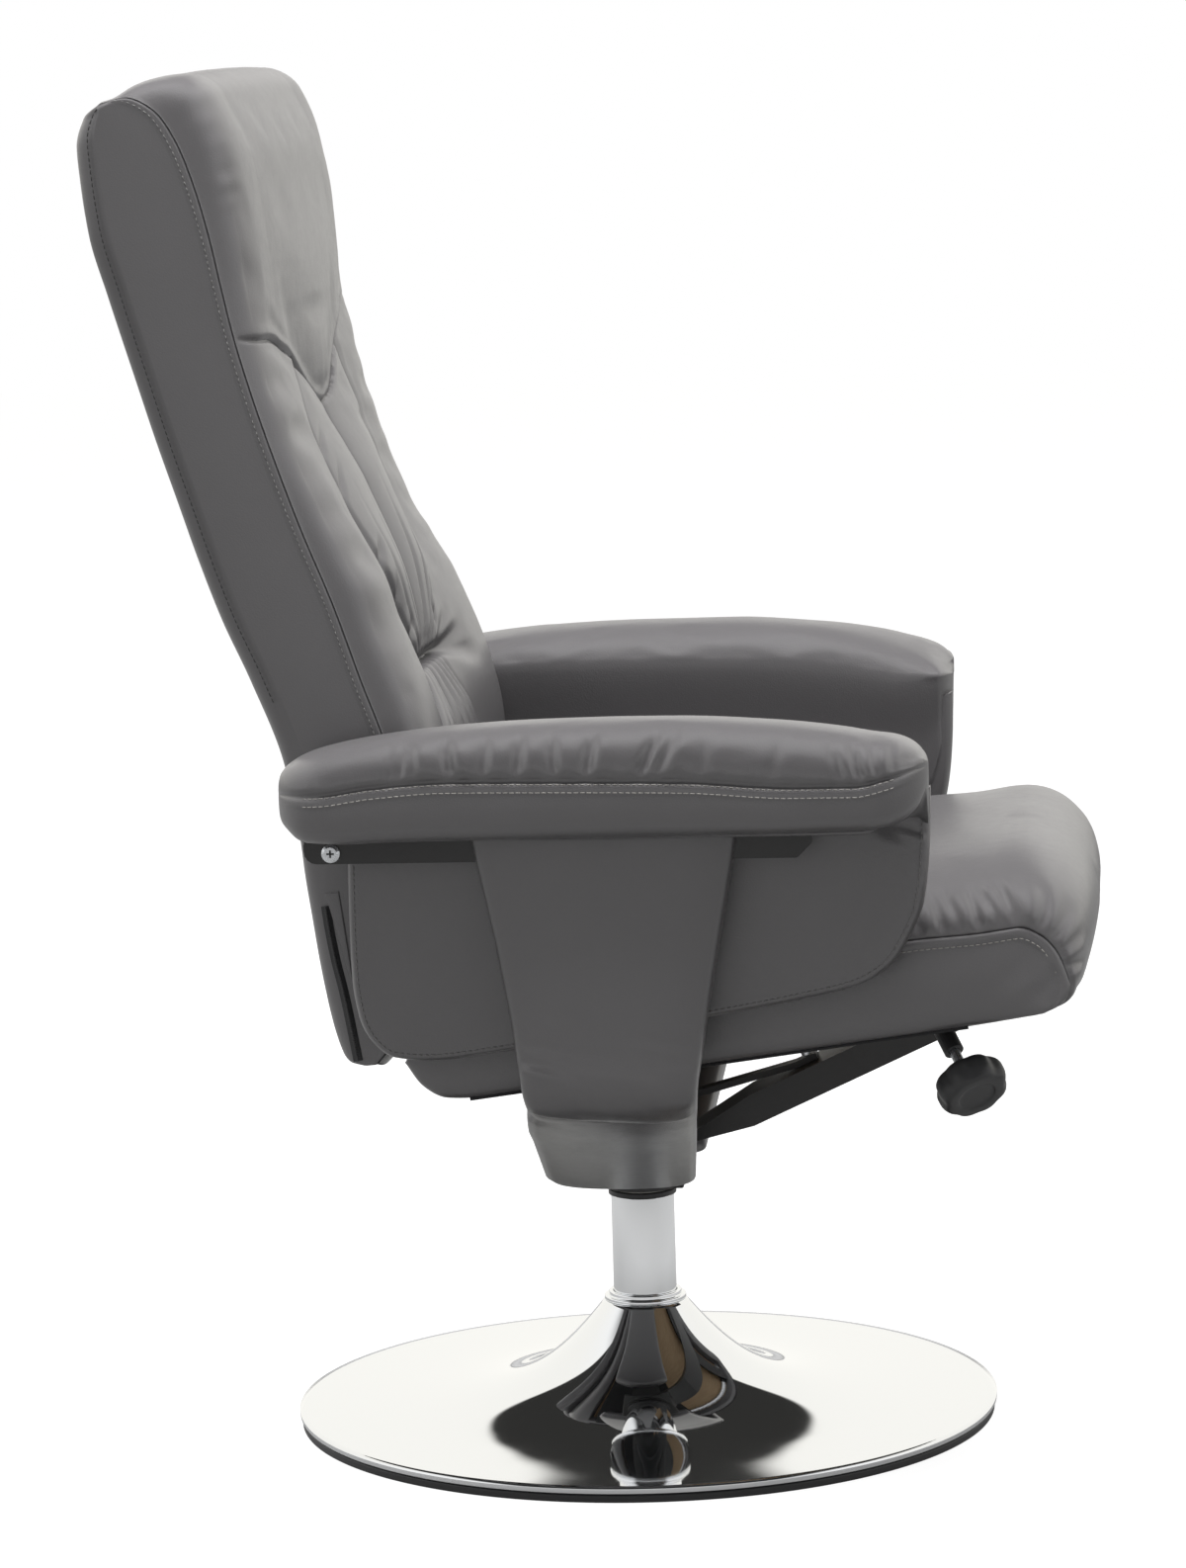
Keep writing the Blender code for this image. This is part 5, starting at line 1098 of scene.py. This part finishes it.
class RECLINER_OT_side_panels(bpy.types.Operator):
    """Builds both upholstered side panels and the stitching round their edges"""

    bl_idname = "recliner.side_panels"
    bl_label = "Side panels"

    def execute(self, context):
        settings = context.scene.recliner_panels
        sewing = context.scene.recliner_stitching
        outline = through(PANEL_OUTLINE, 900)
        along = tangents(outline)
        line = (outline + np.column_stack([-along[:, 1], along[:, 0]]) * settings.stitch_inset)[20:-20]
        rows = []
        for tag, side in SIDES:
            shape = panel_faces(settings, side)
            panel = piece("panel_" + tag, shape, "yoke", "grey_leather", ["side_panel_" + tag])
            path = beside(line, side * (settings.middle + settings.thickness / 2 - 0.0001))
            rows.append(stitches(path, side, sewing))
        piece("panel_stitching", together(rows), "yoke", "grey_leather", thread="grey_thread")
        return {"FINISHED"}


def leg_rings(side, rows=340):
    """A padded leg as rings from its foot on the hub, out along the slope and round the bend, up to the arm.
    Each ring is a fifth-power ellipse between the leg's rear and front edges. At the bend the upper leather
    folds over the lower: it steps out above a sharp crease and falls back by an exponential curve. Small
    wrinkles lie above it."""
    path = through(LEG_SPINE, rows)
    along = tangents(path)
    normal = np.column_stack([along[:, 1], -along[:, 0]])
    z = path[:, 1]
    bend = ease(path[:, 0], 0.262, 0.3118)[:, None] * ease(z, 0.29, 0.34)[:, None]
    half = 0.013 + 0.009 * bend
    rear, front = (np.interp(z, *np.array(edge).T)[:, None] for edge in (LEG_REAR, LEG_FRONT))
    turn = np.linspace(0, math.tau, 121)[None, :-1]
    power = 2 / 5
    wide = np.sign(np.cos(turn)) * np.abs(np.cos(turn)) ** power
    deep = np.sign(np.sin(turn)) * np.abs(np.sin(turn)) ** power
    foot = np.sqrt(np.clip(1 - (1 - np.clip((path[:, :1] - 0.0495) / 0.006, 0, 1)) ** 2, 0.15, 1))
    x = (rear + front) / 2 + wide * (front - rear) / 2 * (0.95 + 0.05 * foot)
    outer = ease(deep, 0.2, 0.9)
    level = z[:, None] + 0.003 * np.sin(x / 0.03)
    low, high = LEG_FOLD
    above = ease(level, low, high)
    fold = 0.0022 * above * np.exp(-np.maximum(level - high, 0) / 0.012)
    crease = -0.0030 * (1 - above) * np.exp(-np.maximum(low - level, 0) / 0.0022) + fold
    rolls = 0.0010 * bump(level, 0.336, 0.008)
    wrinkle = 0.0011 * ripple(level + 0.2 * x, 0.4, 0.020) * bump(level, 0.335, 0.035) * outer
    swell = 0.003 * (1 - wide**2) * outer
    depth = deep * half * foot + (crease + rolls) * outer + wrinkle + swell
    y = path[:, :1] + normal[:, :1] * depth
    return np.stack([x, side * y, path[:, 1:] + normal[:, 1:] * depth], axis=-1)


class RECLINER_OT_legs(bpy.types.Operator):
    """Builds the padded covers of both legs of the yoke"""

    bl_idname = "recliner.legs"
    bl_label = "Legs"

    def execute(self, context):
        for tag, side in SIDES:
            leg = piece("leg_" + tag, loft(leg_rings(side)), "yoke", "grey_leather", ["leg_cover_" + tag])
        return {"FINISHED"}


def dome_profile(settings):
    """The dome in section: a cubic curve from neck to rim, a rolled lip, and the same curve back inside."""
    neck = np.array((settings.column / 2 + 0.0078, 0.091))
    rim = np.array((settings.radius, 0.0123))
    handles = (neck, neck + (0.060, -0.075), rim + (-0.155, 0.005), rim)
    t = np.linspace(0, 1, 90)[:, None]
    weights = ((1 - t) ** 3, 3 * t * (1 - t) ** 2, 3 * t * t * (1 - t), t**3)
    curve = sum(weight * handle for weight, handle in zip(weights, handles))
    along = tangents(curve)
    inner = curve - np.column_stack([-along[:, 1], along[:, 0]]) * 0.002
    bore = settings.column / 2 + 0.0003
    lip = np.array(((settings.radius, 0.0105), (settings.radius - 0.0003, 0.0085),
                    (settings.radius - 0.0012, 0.0070), (settings.radius - 0.0030, 0.0063)))
    return np.concatenate([[(bore, 0.0911)], curve, lip, [(settings.radius - 0.012, 0.0063)], inner[-8:0:-1],
                           [(bore, 0.0895)]])


class RECLINER_OT_pedestal(bpy.types.Operator):
    """Builds the chrome dome, its floor ring, the column, the collar and the swivel bush"""

    bl_idname = "recliner.pedestal"
    bl_label = "Pedestal"

    def execute(self, context):
        settings = context.scene.recliner_pedestal
        tube = settings.column / 2
        piece("dome", turned(dome_profile(settings), 240), "base", "chrome", ["base_dome"])
        outer = settings.radius - 0.002
        inner = outer - 0.022
        ring = ((inner, 0.003), (inner, 0.0), (outer, 0.0), (outer, 0.006), (inner, 0.006), (inner, 0.003))
        shape = turned(rounded(ring, 0.0012)[1:], 240)
        piece("floor_ring", shape, "base", "black_plastic", ["base_floor_ring"])
        inner = tube - 0.0025
        column = ((inner, 0.10), (inner, 0.0303), (tube, 0.0303), (tube, 0.176), (inner, 0.176),
                  (inner, 0.10))
        piece("column", turned(rounded(column, 0.0006)[1:], 160), "base", "chrome", ["column_tube"])
        bore = tube + 0.0003
        collar = ((bore, 0.095), (bore, 0.0913), (bore + 0.0072, 0.0913), (bore + 0.0072, 0.0948),
                  (bore + 0.0035, 0.0948), (bore + 0.0035, 0.0983), (bore, 0.0983), (bore, 0.095))
        piece("collar", turned(rounded(collar, 0.0010)[1:], 160), "base", "chrome", ["column_collar"])
        bore, sleeve, flange = 0.0123, tube - 0.0028, tube + 0.002
        bush = ((bore, 0.15), (bore, 0.121), (sleeve, 0.121), (sleeve, 0.1763), (flange, 0.1763),
                (flange, 0.1803), (bore, 0.1803), (bore, 0.15))
        piece("bush", turned(rounded(bush, 0.0008)[1:], 120), "base", "black_plastic", ["column_bush"])
        return {"FINISHED"}


def knob_profile(radius, depth):
    """The knob in section, from its axis at the rod round its rim to a shallow round recess in its face."""
    base = 0.0203
    corners = ((0, base), (0.36 * radius, base), (0.84 * radius, base + 0.05 * depth),
               (radius, base + 0.28 * depth), (radius, base + 0.70 * depth), (0.86 * radius, base + depth),
               (0.54 * radius, base + depth), (0.50 * radius, base + 0.94 * depth), (0, base + 0.94 * depth))
    return rounded(corners, 0.0035, 7)


class RECLINER_OT_fittings(bpy.types.Operator):
    """Builds the scalloped clamp knob, and on the back's pivot screws thin black crosses: painted shade of
    their cross slots
    """

    bl_idname = "recliner.fittings"
    bl_label = "Knob and screws"

    def execute(self, context):
        settings = context.scene.recliner_fittings
        profile = knob_profile(settings.knob_radius, settings.knob_depth)
        sides, scallops = 160, 8
        turn = np.linspace(0, math.tau, sides, endpoint=False)[:, None]
        share = profile[:, 0] / settings.knob_radius
        scallop = settings.scallop * ((1 - np.cos(scallops * turn)) / 2) ** 1.4 * share**4
        radius = profile[:, 0] - scallop
        points = np.stack([radius * np.cos(turn), radius * np.sin(turn), profile[:, 1] + 0 * turn], axis=-1)
        lie = np.array(Vector(settings.knob_axis).to_track_quat("Z", "Y").to_matrix())
        points = points @ lie.T + np.array(settings.knob_foot)
        faces = quads(sides, len(profile), spun=True).tolist()
        piece("knob", (points, faces), "knob", "black_plastic", ["clamp_knob"])
        # The cross slots are not cut: a thin black cross, a tenth of a millimetre proud of each head, is
        # painted shade where the recess would be dark
        reach, half = settings.slot_length / 2, settings.slot_width / 2
        corner = np.array(((half, reach), (half, half), (reach, half)))
        cross = np.concatenate([corner, corner[::-1] * (1, -1), -corner, corner[::-1] * (-1, 1)])
        for tag, side in SIDES:
            low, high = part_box("pivot_screw_" + tag)
            face = high.y if side > 0 else low.y
            outline = cross + ((low.x + high.x) / 2, (low.z + high.z) / 2)
            rings = [beside(outline, face + side * out) for out in (-0.0004, 0.0001)]
            piece("screw_slot_shade_" + tag, loft(rings), "back", "black_steel")
        return {"FINISHED"}


class RECLINER_OT_frame_finishes(bpy.types.Operator):
    """Gives every solid part that stays in sight its finish"""

    bl_idname = "recliner.frame_finishes"
    bl_label = "Frame finishes"

    def execute(self, context):
        slots = {part["node"]: part["material_slot"] for part in frame["record"]["subparts"]}
        for name, solid in frame["nodes"].items():
            solid.data.materials.clear()
            solid.data.materials.append(finish_named(slots[name]))
        return {"FINISHED"}


def studio_world(settings):
    """A white room. The camera sees plain white. A mirror sees white walls, with a dark gap that spreads
    upwards between two leaning panels and a dark side behind the camera. As light, the room is soft, weaker
    from the camera's side and stronger and a little warmer from behind the chair."""
    world = bpy.data.worlds.new("studio")
    world.use_nodes = True
    room = Nodes(world.node_tree)
    toward = room.node("ShaderNodeSeparateXYZ", {}, {0: room.source("ShaderNodeTexCoord", "Generated")})
    x, y, z = (Wire(room, socket) for socket in toward.socket.node.outputs)
    aside = room.node("ShaderNodeMath", {"operation": "ABSOLUTE"}, {0: x + 0.09 * y})
    gap = room.step(settings.gap_spread * (z - settings.wall_top) - aside, -0.004, 0.012)
    behind = room.step(-1 * y, -0.10, 0.30) * (1 - room.step(aside, 0.60, 0.80)) * room.step(z, 0.08, 0.22)
    dark = room.node("ShaderNodeMath", {"operation": "MAXIMUM"}, {0: gap, 1: behind})
    mirrored = settings.mirror_light * (1 - settings.dark_share * dark)
    seen = room.source("ShaderNodeLightPath", "Is Camera Ray")
    glossy = room.source("ShaderNodeLightPath", "Is Glossy Ray")
    rear_side = room.step(y, -0.3, 0.95)
    soft = settings.room_light * (settings.front_share + (1 - settings.front_share) * rear_side)
    level = soft * (1 - seen) * (1 - glossy) + glossy * mirrored + seen
    tint = room.blend(room.step(y, -0.2, 0.6) * (1 - seen), (1, 1, 1, 1), (1, 0.985, 0.935, 1))
    shown = room.node("ShaderNodeBackground", {}, {"Color": tint, "Strength": level})
    room.tree.links.new(shown.socket, room.tree.nodes["World Output"].inputs["Surface"])
    bpy.context.scene.world = world


def floor_finish(settings):
    """White floor: a matt grey that takes shadow, lifted to white for the camera and partly for mirrors."""
    finish = Finish("floor")
    finish.set(colour=(0.18, 0.18, 0.18, 1), roughness=0.9, specular=0.0)
    seen = finish.source("ShaderNodeLightPath", "Is Camera Ray")
    mirrored = finish.source("ShaderNodeLightPath", "Is Glossy Ray")
    plain = Wire(finish, finish.shader.outputs[0])
    glow = finish.node("ShaderNodeEmission", {}, {"Color": (1, 1, 1, 1), "Strength": settings.floor_lift})
    both = finish.node("ShaderNodeAddShader", {}, {0: plain, 1: glow})
    share = seen + settings.mirror_share * mirrored
    mixed = finish.node("ShaderNodeMixShader", {}, {0: share, 1: plain, 2: both})
    finish.tree.links.new(mixed.socket, finish.tree.nodes["Material Output"].inputs["Surface"])
    return finish.material


def softbox(name, place, aim, size, power):
    """A large soft lamp turned towards a point."""
    lamp = bpy.data.lights.new(name, "AREA")
    lamp.shape = "RECTANGLE"
    lamp.size, lamp.size_y = size
    lamp.energy = power
    holder = bpy.data.objects.new(name, lamp)
    holder.location = place
    holder.rotation_euler = (Vector(aim) - Vector(place)).to_track_quat("-Z", "Y").to_euler()
    holder.visible_glossy = False
    bpy.context.scene.collection.objects.link(holder)


class RECLINER_OT_studio(bpy.types.Operator):
    """Builds the white floor, the soft lamps, the white room and the camera"""

    bl_idname = "recliner.studio"
    bl_label = "Studio"

    def execute(self, context):
        settings = context.scene.recliner_studio
        scene = context.scene
        scene.view_settings.view_transform = "Standard"
        studio_world(settings)
        reach = 12.0
        mesh = bpy.data.meshes.new("floor")
        corners = [(-reach, -reach, 0), (reach, -reach, 0), (reach, reach, 0), (-reach, reach, 0)]
        mesh.from_pydata(corners, [], [(0, 1, 2, 3)])
        mesh.materials.append(floor_finish(settings))
        floor = bpy.data.objects.new("floor", mesh)
        scene.collection.objects.link(floor)
        softbox("key", (2.6, -0.4, 2.3), (0, 0, 0.6), (2.2, 2.2), settings.key_light)
        softbox("top", (0.0, -0.10, 3.2), (0, 0, 0.6), (2.6, 2.2), settings.top_light)
        softbox("rim", (-2.8, 1.6, 1.7), (0, 0, 0.6), (2.0, 2.4), settings.rim_light)
        softbox("fill", (-1.0, -3.4, 1.2), (0, 0, 0.5), (2.4, 2.0), settings.fill_light)
        camera = bpy.data.cameras.new("camera")
        camera.sensor_width = 36.0
        camera.lens = settings.lens
        holder = bpy.data.objects.new("camera", camera)
        yaw, pitch, roll = settings.aim
        forward = Vector((math.sin(yaw) * math.cos(pitch), math.cos(yaw) * math.cos(pitch), math.sin(pitch)))
        level = Vector((math.cos(yaw), -math.sin(yaw), 0))
        upright = level.cross(forward)
        right = math.cos(roll) * level + math.sin(roll) * upright
        up = math.cos(roll) * upright - math.sin(roll) * level
        turn = Matrix((right, up, -forward)).transposed().to_4x4()
        holder.matrix_world = Matrix.Translation(settings.camera) @ turn
        scene.collection.objects.link(holder)
        scene.camera = holder
        return {"FINISHED"}


class ReclinerLeather(bpy.types.PropertyGroup):
    """Leather of the whole chair"""

    colour: bpy.props.FloatVectorProperty(name="Colour", description="Colour of the leather", subtype="COLOR",
                                          size=4, min=0, max=1, default=(0.0835, 0.0805, 0.0830, 1))
    roughness: bpy.props.FloatProperty(name="Roughness", description="Spread of the leather's sheen",
                                       default=0.34, min=0, max=1)
    sheen: bpy.props.FloatProperty(name="Sheen", description="Strength of the leather's sheen", default=0.85,
                                   min=0, max=1)
    grain: bpy.props.FloatProperty(name="Grain", description="Size of the leather's pebbles", default=0.0014,
                                   unit="LENGTH")
    grain_depth: bpy.props.FloatProperty(name="Grain depth", description="Height of the pebbles",
                                         default=0.00012, unit="LENGTH")


class ReclinerStitching(bpy.types.PropertyGroup):
    """Thread and stitches"""

    # Lighter copy of the one thread: painted light, for the stitches of the seat and arms lit from above
    colour: bpy.props.FloatVectorProperty(name="Colour",
                                          description="Colour of the thread on the seat and arms",
                                          subtype="COLOR", size=4, min=0, max=1,
                                          default=(0.26, 0.25, 0.235, 1))
    # Middle copy of the same thread, painted at a middle level of light, for the back's front seam and the
    # panels
    grey_colour: bpy.props.FloatVectorProperty(name="Grey colour",
                                               description="Colour of the thread on the back and panels",
                                               subtype="COLOR", size=4, min=0, max=1,
                                               default=(0.150, 0.147, 0.144, 1))
    # Darker copy of the one thread: painted shade, for the rear rows whose stitches sink into the leather
    # where shade falls
    painted_shade_thread_colour: bpy.props.FloatVectorProperty(name="Dark colour",
                                               description="Colour of the thread on the rear edges",
                                               subtype="COLOR", size=4, min=0, max=1,
                                               default=(0.030, 0.029, 0.029, 1))
    pitch: bpy.props.FloatProperty(name="Pitch", description="From one stitch to the next", default=0.0046,
                                   unit="LENGTH")
    length: bpy.props.FloatProperty(name="Length", description="Length of a stitch", default=0.0034,
                                    unit="LENGTH")
    thread: bpy.props.FloatProperty(name="Thread", description="Thickness of the thread", default=0.0009,
                                    unit="LENGTH")


class ReclinerBack(bpy.types.PropertyGroup):
    """Sizes of the back"""

    half_width: bpy.props.FloatProperty(name="Half width", description="Half the back's width", unit="LENGTH",
                                        default=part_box("back_cover")[1].y)
    crest: bpy.props.FloatProperty(name="Crest",
                                   description="From the middle to where the sides begin to round",
                                   default=0.165, unit="LENGTH")
    slack: bpy.props.FloatProperty(name="Slack",
                                   description="Share by which the cover is cut larger than its form",
                                   default=0.003)
    fold_cap: bpy.props.FloatProperty(name="Fold cap", description="Most that settling moves the cover",
                                      default=0.0014, unit="LENGTH")
    tuft_height: bpy.props.FloatProperty(name="Tuft height", description="Height of the lumbar tuft",
                                         default=0.6015, unit="LENGTH")
    tuft_depth: bpy.props.FloatProperty(name="Tuft depth", description="Depth of the lumbar crease",
                                        default=0.010, unit="LENGTH")
    rear_corner: bpy.props.FloatProperty(name="Rear corner", description="Round of the rear corners",
                                         default=0.018, unit="LENGTH")
    rear_stitch: bpy.props.FloatProperty(name="Rear stitch",
                                         description="From the rear edge to its stitching", default=0.0125,
                                         unit="LENGTH")
    rear_swell: bpy.props.FloatProperty(name="Rear swell", description="Swell of the rear", default=0.010,
                                        unit="LENGTH")
    band_swell: bpy.props.FloatProperty(name="Band swell", description="Swell of the side bands",
                                        default=0.003, unit="LENGTH")


class ReclinerSeat(bpy.types.PropertyGroup):
    """Sizes of the seat"""

    half_width: bpy.props.FloatProperty(name="Half width", description="Half the seat's width", unit="LENGTH",
                                        default=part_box("seat_cushion")[1].y)
    crown: bpy.props.FloatProperty(name="Crown", description="Rise of the top over its side seams",
                                   default=0.048, unit="LENGTH")
    slack: bpy.props.FloatProperty(name="Slack",
                                   description="Share by which the cover is cut larger than its form",
                                   default=0.003)
    fold_cap: bpy.props.FloatProperty(name="Fold cap", description="Most that settling moves the cover",
                                      default=0.0008, unit="LENGTH")
    side_swell: bpy.props.FloatProperty(name="Side swell", description="Swell of the sides", default=0.004,
                                        unit="LENGTH")
    under_round: bpy.props.FloatProperty(name="Under round", description="Round under the sides",
                                         default=0.009, unit="LENGTH")
    sag: bpy.props.FloatProperty(name="Sag", description="Sag of the cloth under the seat", default=0.007,
                                 unit="LENGTH")
    hollow_half: bpy.props.FloatProperty(name="Hollow half width",
                                         description="Half the width of the hollow under", default=0.219,
                                         unit="LENGTH")
    hollow_depth: bpy.props.FloatProperty(name="Hollow depth",
                                          description="Depth of the hollow under the seat", default=0.0446,
                                          unit="LENGTH")


class ReclinerArms(bpy.types.PropertyGroup):
    """Sizes of the arm pads"""

    width: bpy.props.FloatProperty(name="Width", description="Width of an arm pad", unit="LENGTH",
                                   default=ARM_PAD_BOX[1].y - ARM_PAD_BOX[0].y)
    middle: bpy.props.FloatProperty(name="Middle", description="From the chair's middle to an arm's",
                                    unit="LENGTH", default=(ARM_PAD_BOX[1].y + ARM_PAD_BOX[0].y) / 2)
    rear_round: bpy.props.FloatProperty(name="Rear round", description="Round of the rear end", default=0.050,
                                        unit="LENGTH")
    front_round: bpy.props.FloatProperty(name="Front round", description="Round of the front end",
                                         default=0.045, unit="LENGTH")
    slack: bpy.props.FloatProperty(name="Slack",
                                   description="Share by which the cover is cut larger than its form",
                                   default=0.002)
    fold_cap: bpy.props.FloatProperty(name="Fold cap", description="Most that settling moves the cover",
                                      default=0.0012, unit="LENGTH")
    inner_round: bpy.props.FloatProperty(name="Inner round",
                                         description="Round of the front end's inner corner", default=0.013,
                                         unit="LENGTH")
    tilt: bpy.props.FloatProperty(name="Tilt",
                                  description="Rise of the crest towards the outer side, per metre",
                                  default=0.05)
    droop: bpy.props.FloatProperty(name="Droop", description="Droop of the front end's inner side",
                                   default=0.009, unit="LENGTH")
    gather_depth: bpy.props.FloatProperty(name="Gather depth",
                                          description="Depth of the gathers over the seam", default=0.0040,
                                          unit="LENGTH")
    underside: bpy.props.FloatProperty(name="Underside",
                                       description="Height of the leather under the arm board",
                                       default=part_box("arm_board_L")[0].z - 0.0002, unit="LENGTH")
    flap_face: bpy.props.FloatProperty(name="Flap face",
                                       description="From the chair's middle to the inner fall",
                                       default=SIDE_PANEL_BOX[0].y - 0.0012, unit="LENGTH")
    flap_foot: bpy.props.FloatProperty(name="Flap foot", description="Height of the inner fall's lower edge",
                                       default=0.455, unit="LENGTH")


class ReclinerPanels(bpy.types.PropertyGroup):
    """Sizes of the side panels"""

    thickness: bpy.props.FloatProperty(name="Thickness", description="Thickness of a side panel",
                                       unit="LENGTH", default=SIDE_PANEL_BOX[1].y - SIDE_PANEL_BOX[0].y)
    middle: bpy.props.FloatProperty(name="Middle", description="From the chair's middle to a panel's",
                                    unit="LENGTH", default=(SIDE_PANEL_BOX[1].y + SIDE_PANEL_BOX[0].y) / 2)
    edge: bpy.props.FloatProperty(name="Edge", description="Round of the panel's edge", default=0.0065,
                                  unit="LENGTH")
    swell: bpy.props.FloatProperty(name="Swell", description="Swell of the panel's faces", default=0.002,
                                   unit="LENGTH")
    stitch_inset: bpy.props.FloatProperty(name="Stitch inset", description="From the edge to its stitching",
                                          default=0.0060, unit="LENGTH")


class ReclinerPedestal(bpy.types.PropertyGroup):
    """Sizes of the pedestal"""

    radius: bpy.props.FloatProperty(name="Radius", description="Radius of the dome", unit="LENGTH",
                                    default=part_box("base_dome")[1].x)
    column: bpy.props.FloatProperty(name="Column", description="Diameter of the column", unit="LENGTH",
                                    default=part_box("column_tube")[1].x * 2)


class ReclinerFittings(bpy.types.PropertyGroup):
    """Place and sizes of the clamp knob, and sizes of the screws' slots, whose shade is painted as black
    crosses
    """

    knob_foot: bpy.props.FloatVectorProperty(name="Knob foot",
                                             description="Where the knob's rod leaves its ferrule",
                                             default=(0.2557, -0.211, 0.3278), unit="LENGTH")
    knob_axis: bpy.props.FloatVectorProperty(name="Knob axis", description="Direction of the knob's rod",
                                             default=(0.40, -0.66, -0.66))
    knob_radius: bpy.props.FloatProperty(name="Knob radius", description="Radius of the clamp knob",
                                         default=0.0275, unit="LENGTH")
    knob_depth: bpy.props.FloatProperty(name="Knob depth", description="Depth of the clamp knob",
                                        default=0.024, unit="LENGTH")
    scallop: bpy.props.FloatProperty(name="Scallop", description="Depth of the scallops round its rim",
                                     default=0.0022, unit="LENGTH")
    slot_length: bpy.props.FloatProperty(name="Slot length",
                                         description="Length of the cross slots of the screws",
                                         default=0.0056, unit="LENGTH")
    slot_width: bpy.props.FloatProperty(name="Slot width",
                                        description="Width of the cross slots of the screws", default=0.0013,
                                        unit="LENGTH")


class ReclinerStudio(bpy.types.PropertyGroup):
    """Camera and lamps"""

    camera: bpy.props.FloatVectorProperty(name="Camera", description="Where the camera stands", size=3,
                                          subtype="TRANSLATION", unit="LENGTH",
                                          default=(0.3877, -4.174, 1.0998))
    aim: bpy.props.FloatVectorProperty(name="Aim", description="Yaw, pitch and roll of the camera", size=3,
                                       subtype="EULER", unit="ROTATION", default=(-0.0997, -0.1413, -0.0295))
    lens: bpy.props.FloatProperty(name="Lens", description="Focal length in millimetres", default=124.13)
    room_light: bpy.props.FloatProperty(name="Room light", description="Level of the white room's light",
                                        default=0.84)
    front_share: bpy.props.FloatProperty(name="Front share",
                                         description="Level of the light from the camera's side",
                                         default=0.50, min=0, max=1)
    wall_top: bpy.props.FloatProperty(name="Wall top",
                                      description="Sine of the height at which the dark gap starts",
                                      default=0.295)
    gap_spread: bpy.props.FloatProperty(name="Gap spread", description="How fast the dark gap widens upwards",
                                        default=1.10)
    dark_share: bpy.props.FloatProperty(name="Dark share",
                                        description="How dark the gap and the camera's side are",
                                        default=0.97)
    key_light: bpy.props.FloatProperty(name="Key light", description="Power of the key lamp", default=6.0)
    top_light: bpy.props.FloatProperty(name="Top light", description="Power of the top lamp", default=240.0)
    mirror_light: bpy.props.FloatProperty(name="Mirror light",
                                          description="Level of the white walls in reflections", default=1.08)
    rim_light: bpy.props.FloatProperty(name="Rim light", description="Power of the lamp at the rear",
                                       default=70.0)
    fill_light: bpy.props.FloatProperty(name="Fill light", description="Power of the fill lamp", default=16.0)
    floor_lift: bpy.props.FloatProperty(name="Floor lift", description="Lift of the floor towards white",
                                        default=0.90)
    mirror_share: bpy.props.FloatProperty(name="Mirror share",
                                          description="Share of that lift that mirrors see", default=0.25,
                                          min=0, max=1)


class RECLINER_PT_sidebar(bpy.types.Panel):
    """Lists the recliner's pieces"""

    bl_idname = "RECLINER_PT_sidebar"
    bl_label = "Recliner"
    bl_space_type = "VIEW_3D"
    bl_region_type = "UI"
    bl_category = "Recliner"

    def draw(self, context):
        for operator in OPERATORS:
            self.layout.operator(operator.bl_idname)


OPERATORS = (RECLINER_OT_frame_finishes, RECLINER_OT_pedestal, RECLINER_OT_legs, RECLINER_OT_side_panels,
             RECLINER_OT_arms, RECLINER_OT_seat, RECLINER_OT_back, RECLINER_OT_fittings, RECLINER_OT_studio)
SETTINGS = {"recliner_leather": ReclinerLeather, "recliner_stitching": ReclinerStitching,
            "recliner_back": ReclinerBack, "recliner_seat": ReclinerSeat, "recliner_arms": ReclinerArms,
            "recliner_panels": ReclinerPanels, "recliner_pedestal": ReclinerPedestal,
            "recliner_fittings": ReclinerFittings, "recliner_studio": ReclinerStudio}


def register():
    for group in (*SETTINGS.values(), *OPERATORS, RECLINER_PT_sidebar):
        bpy.utils.register_class(group)
    for name, group in SETTINGS.items():
        setattr(bpy.types.Scene, name, bpy.props.PointerProperty(type=group))


def unregister():
    for name in SETTINGS:
        delattr(bpy.types.Scene, name)
    for group in (*SETTINGS.values(), *OPERATORS, RECLINER_PT_sidebar):
        bpy.utils.unregister_class(group)


def main():
    register()
    bpy.ops.recliner.frame_finishes()
    bpy.ops.recliner.pedestal()
    bpy.ops.recliner.legs()
    bpy.ops.recliner.side_panels()
    bpy.ops.recliner.arms()
    bpy.ops.recliner.seat()
    bpy.ops.recliner.back()
    bpy.ops.recliner.fittings()
    bpy.ops.recliner.studio()


if __name__ == "__main__":
    main()
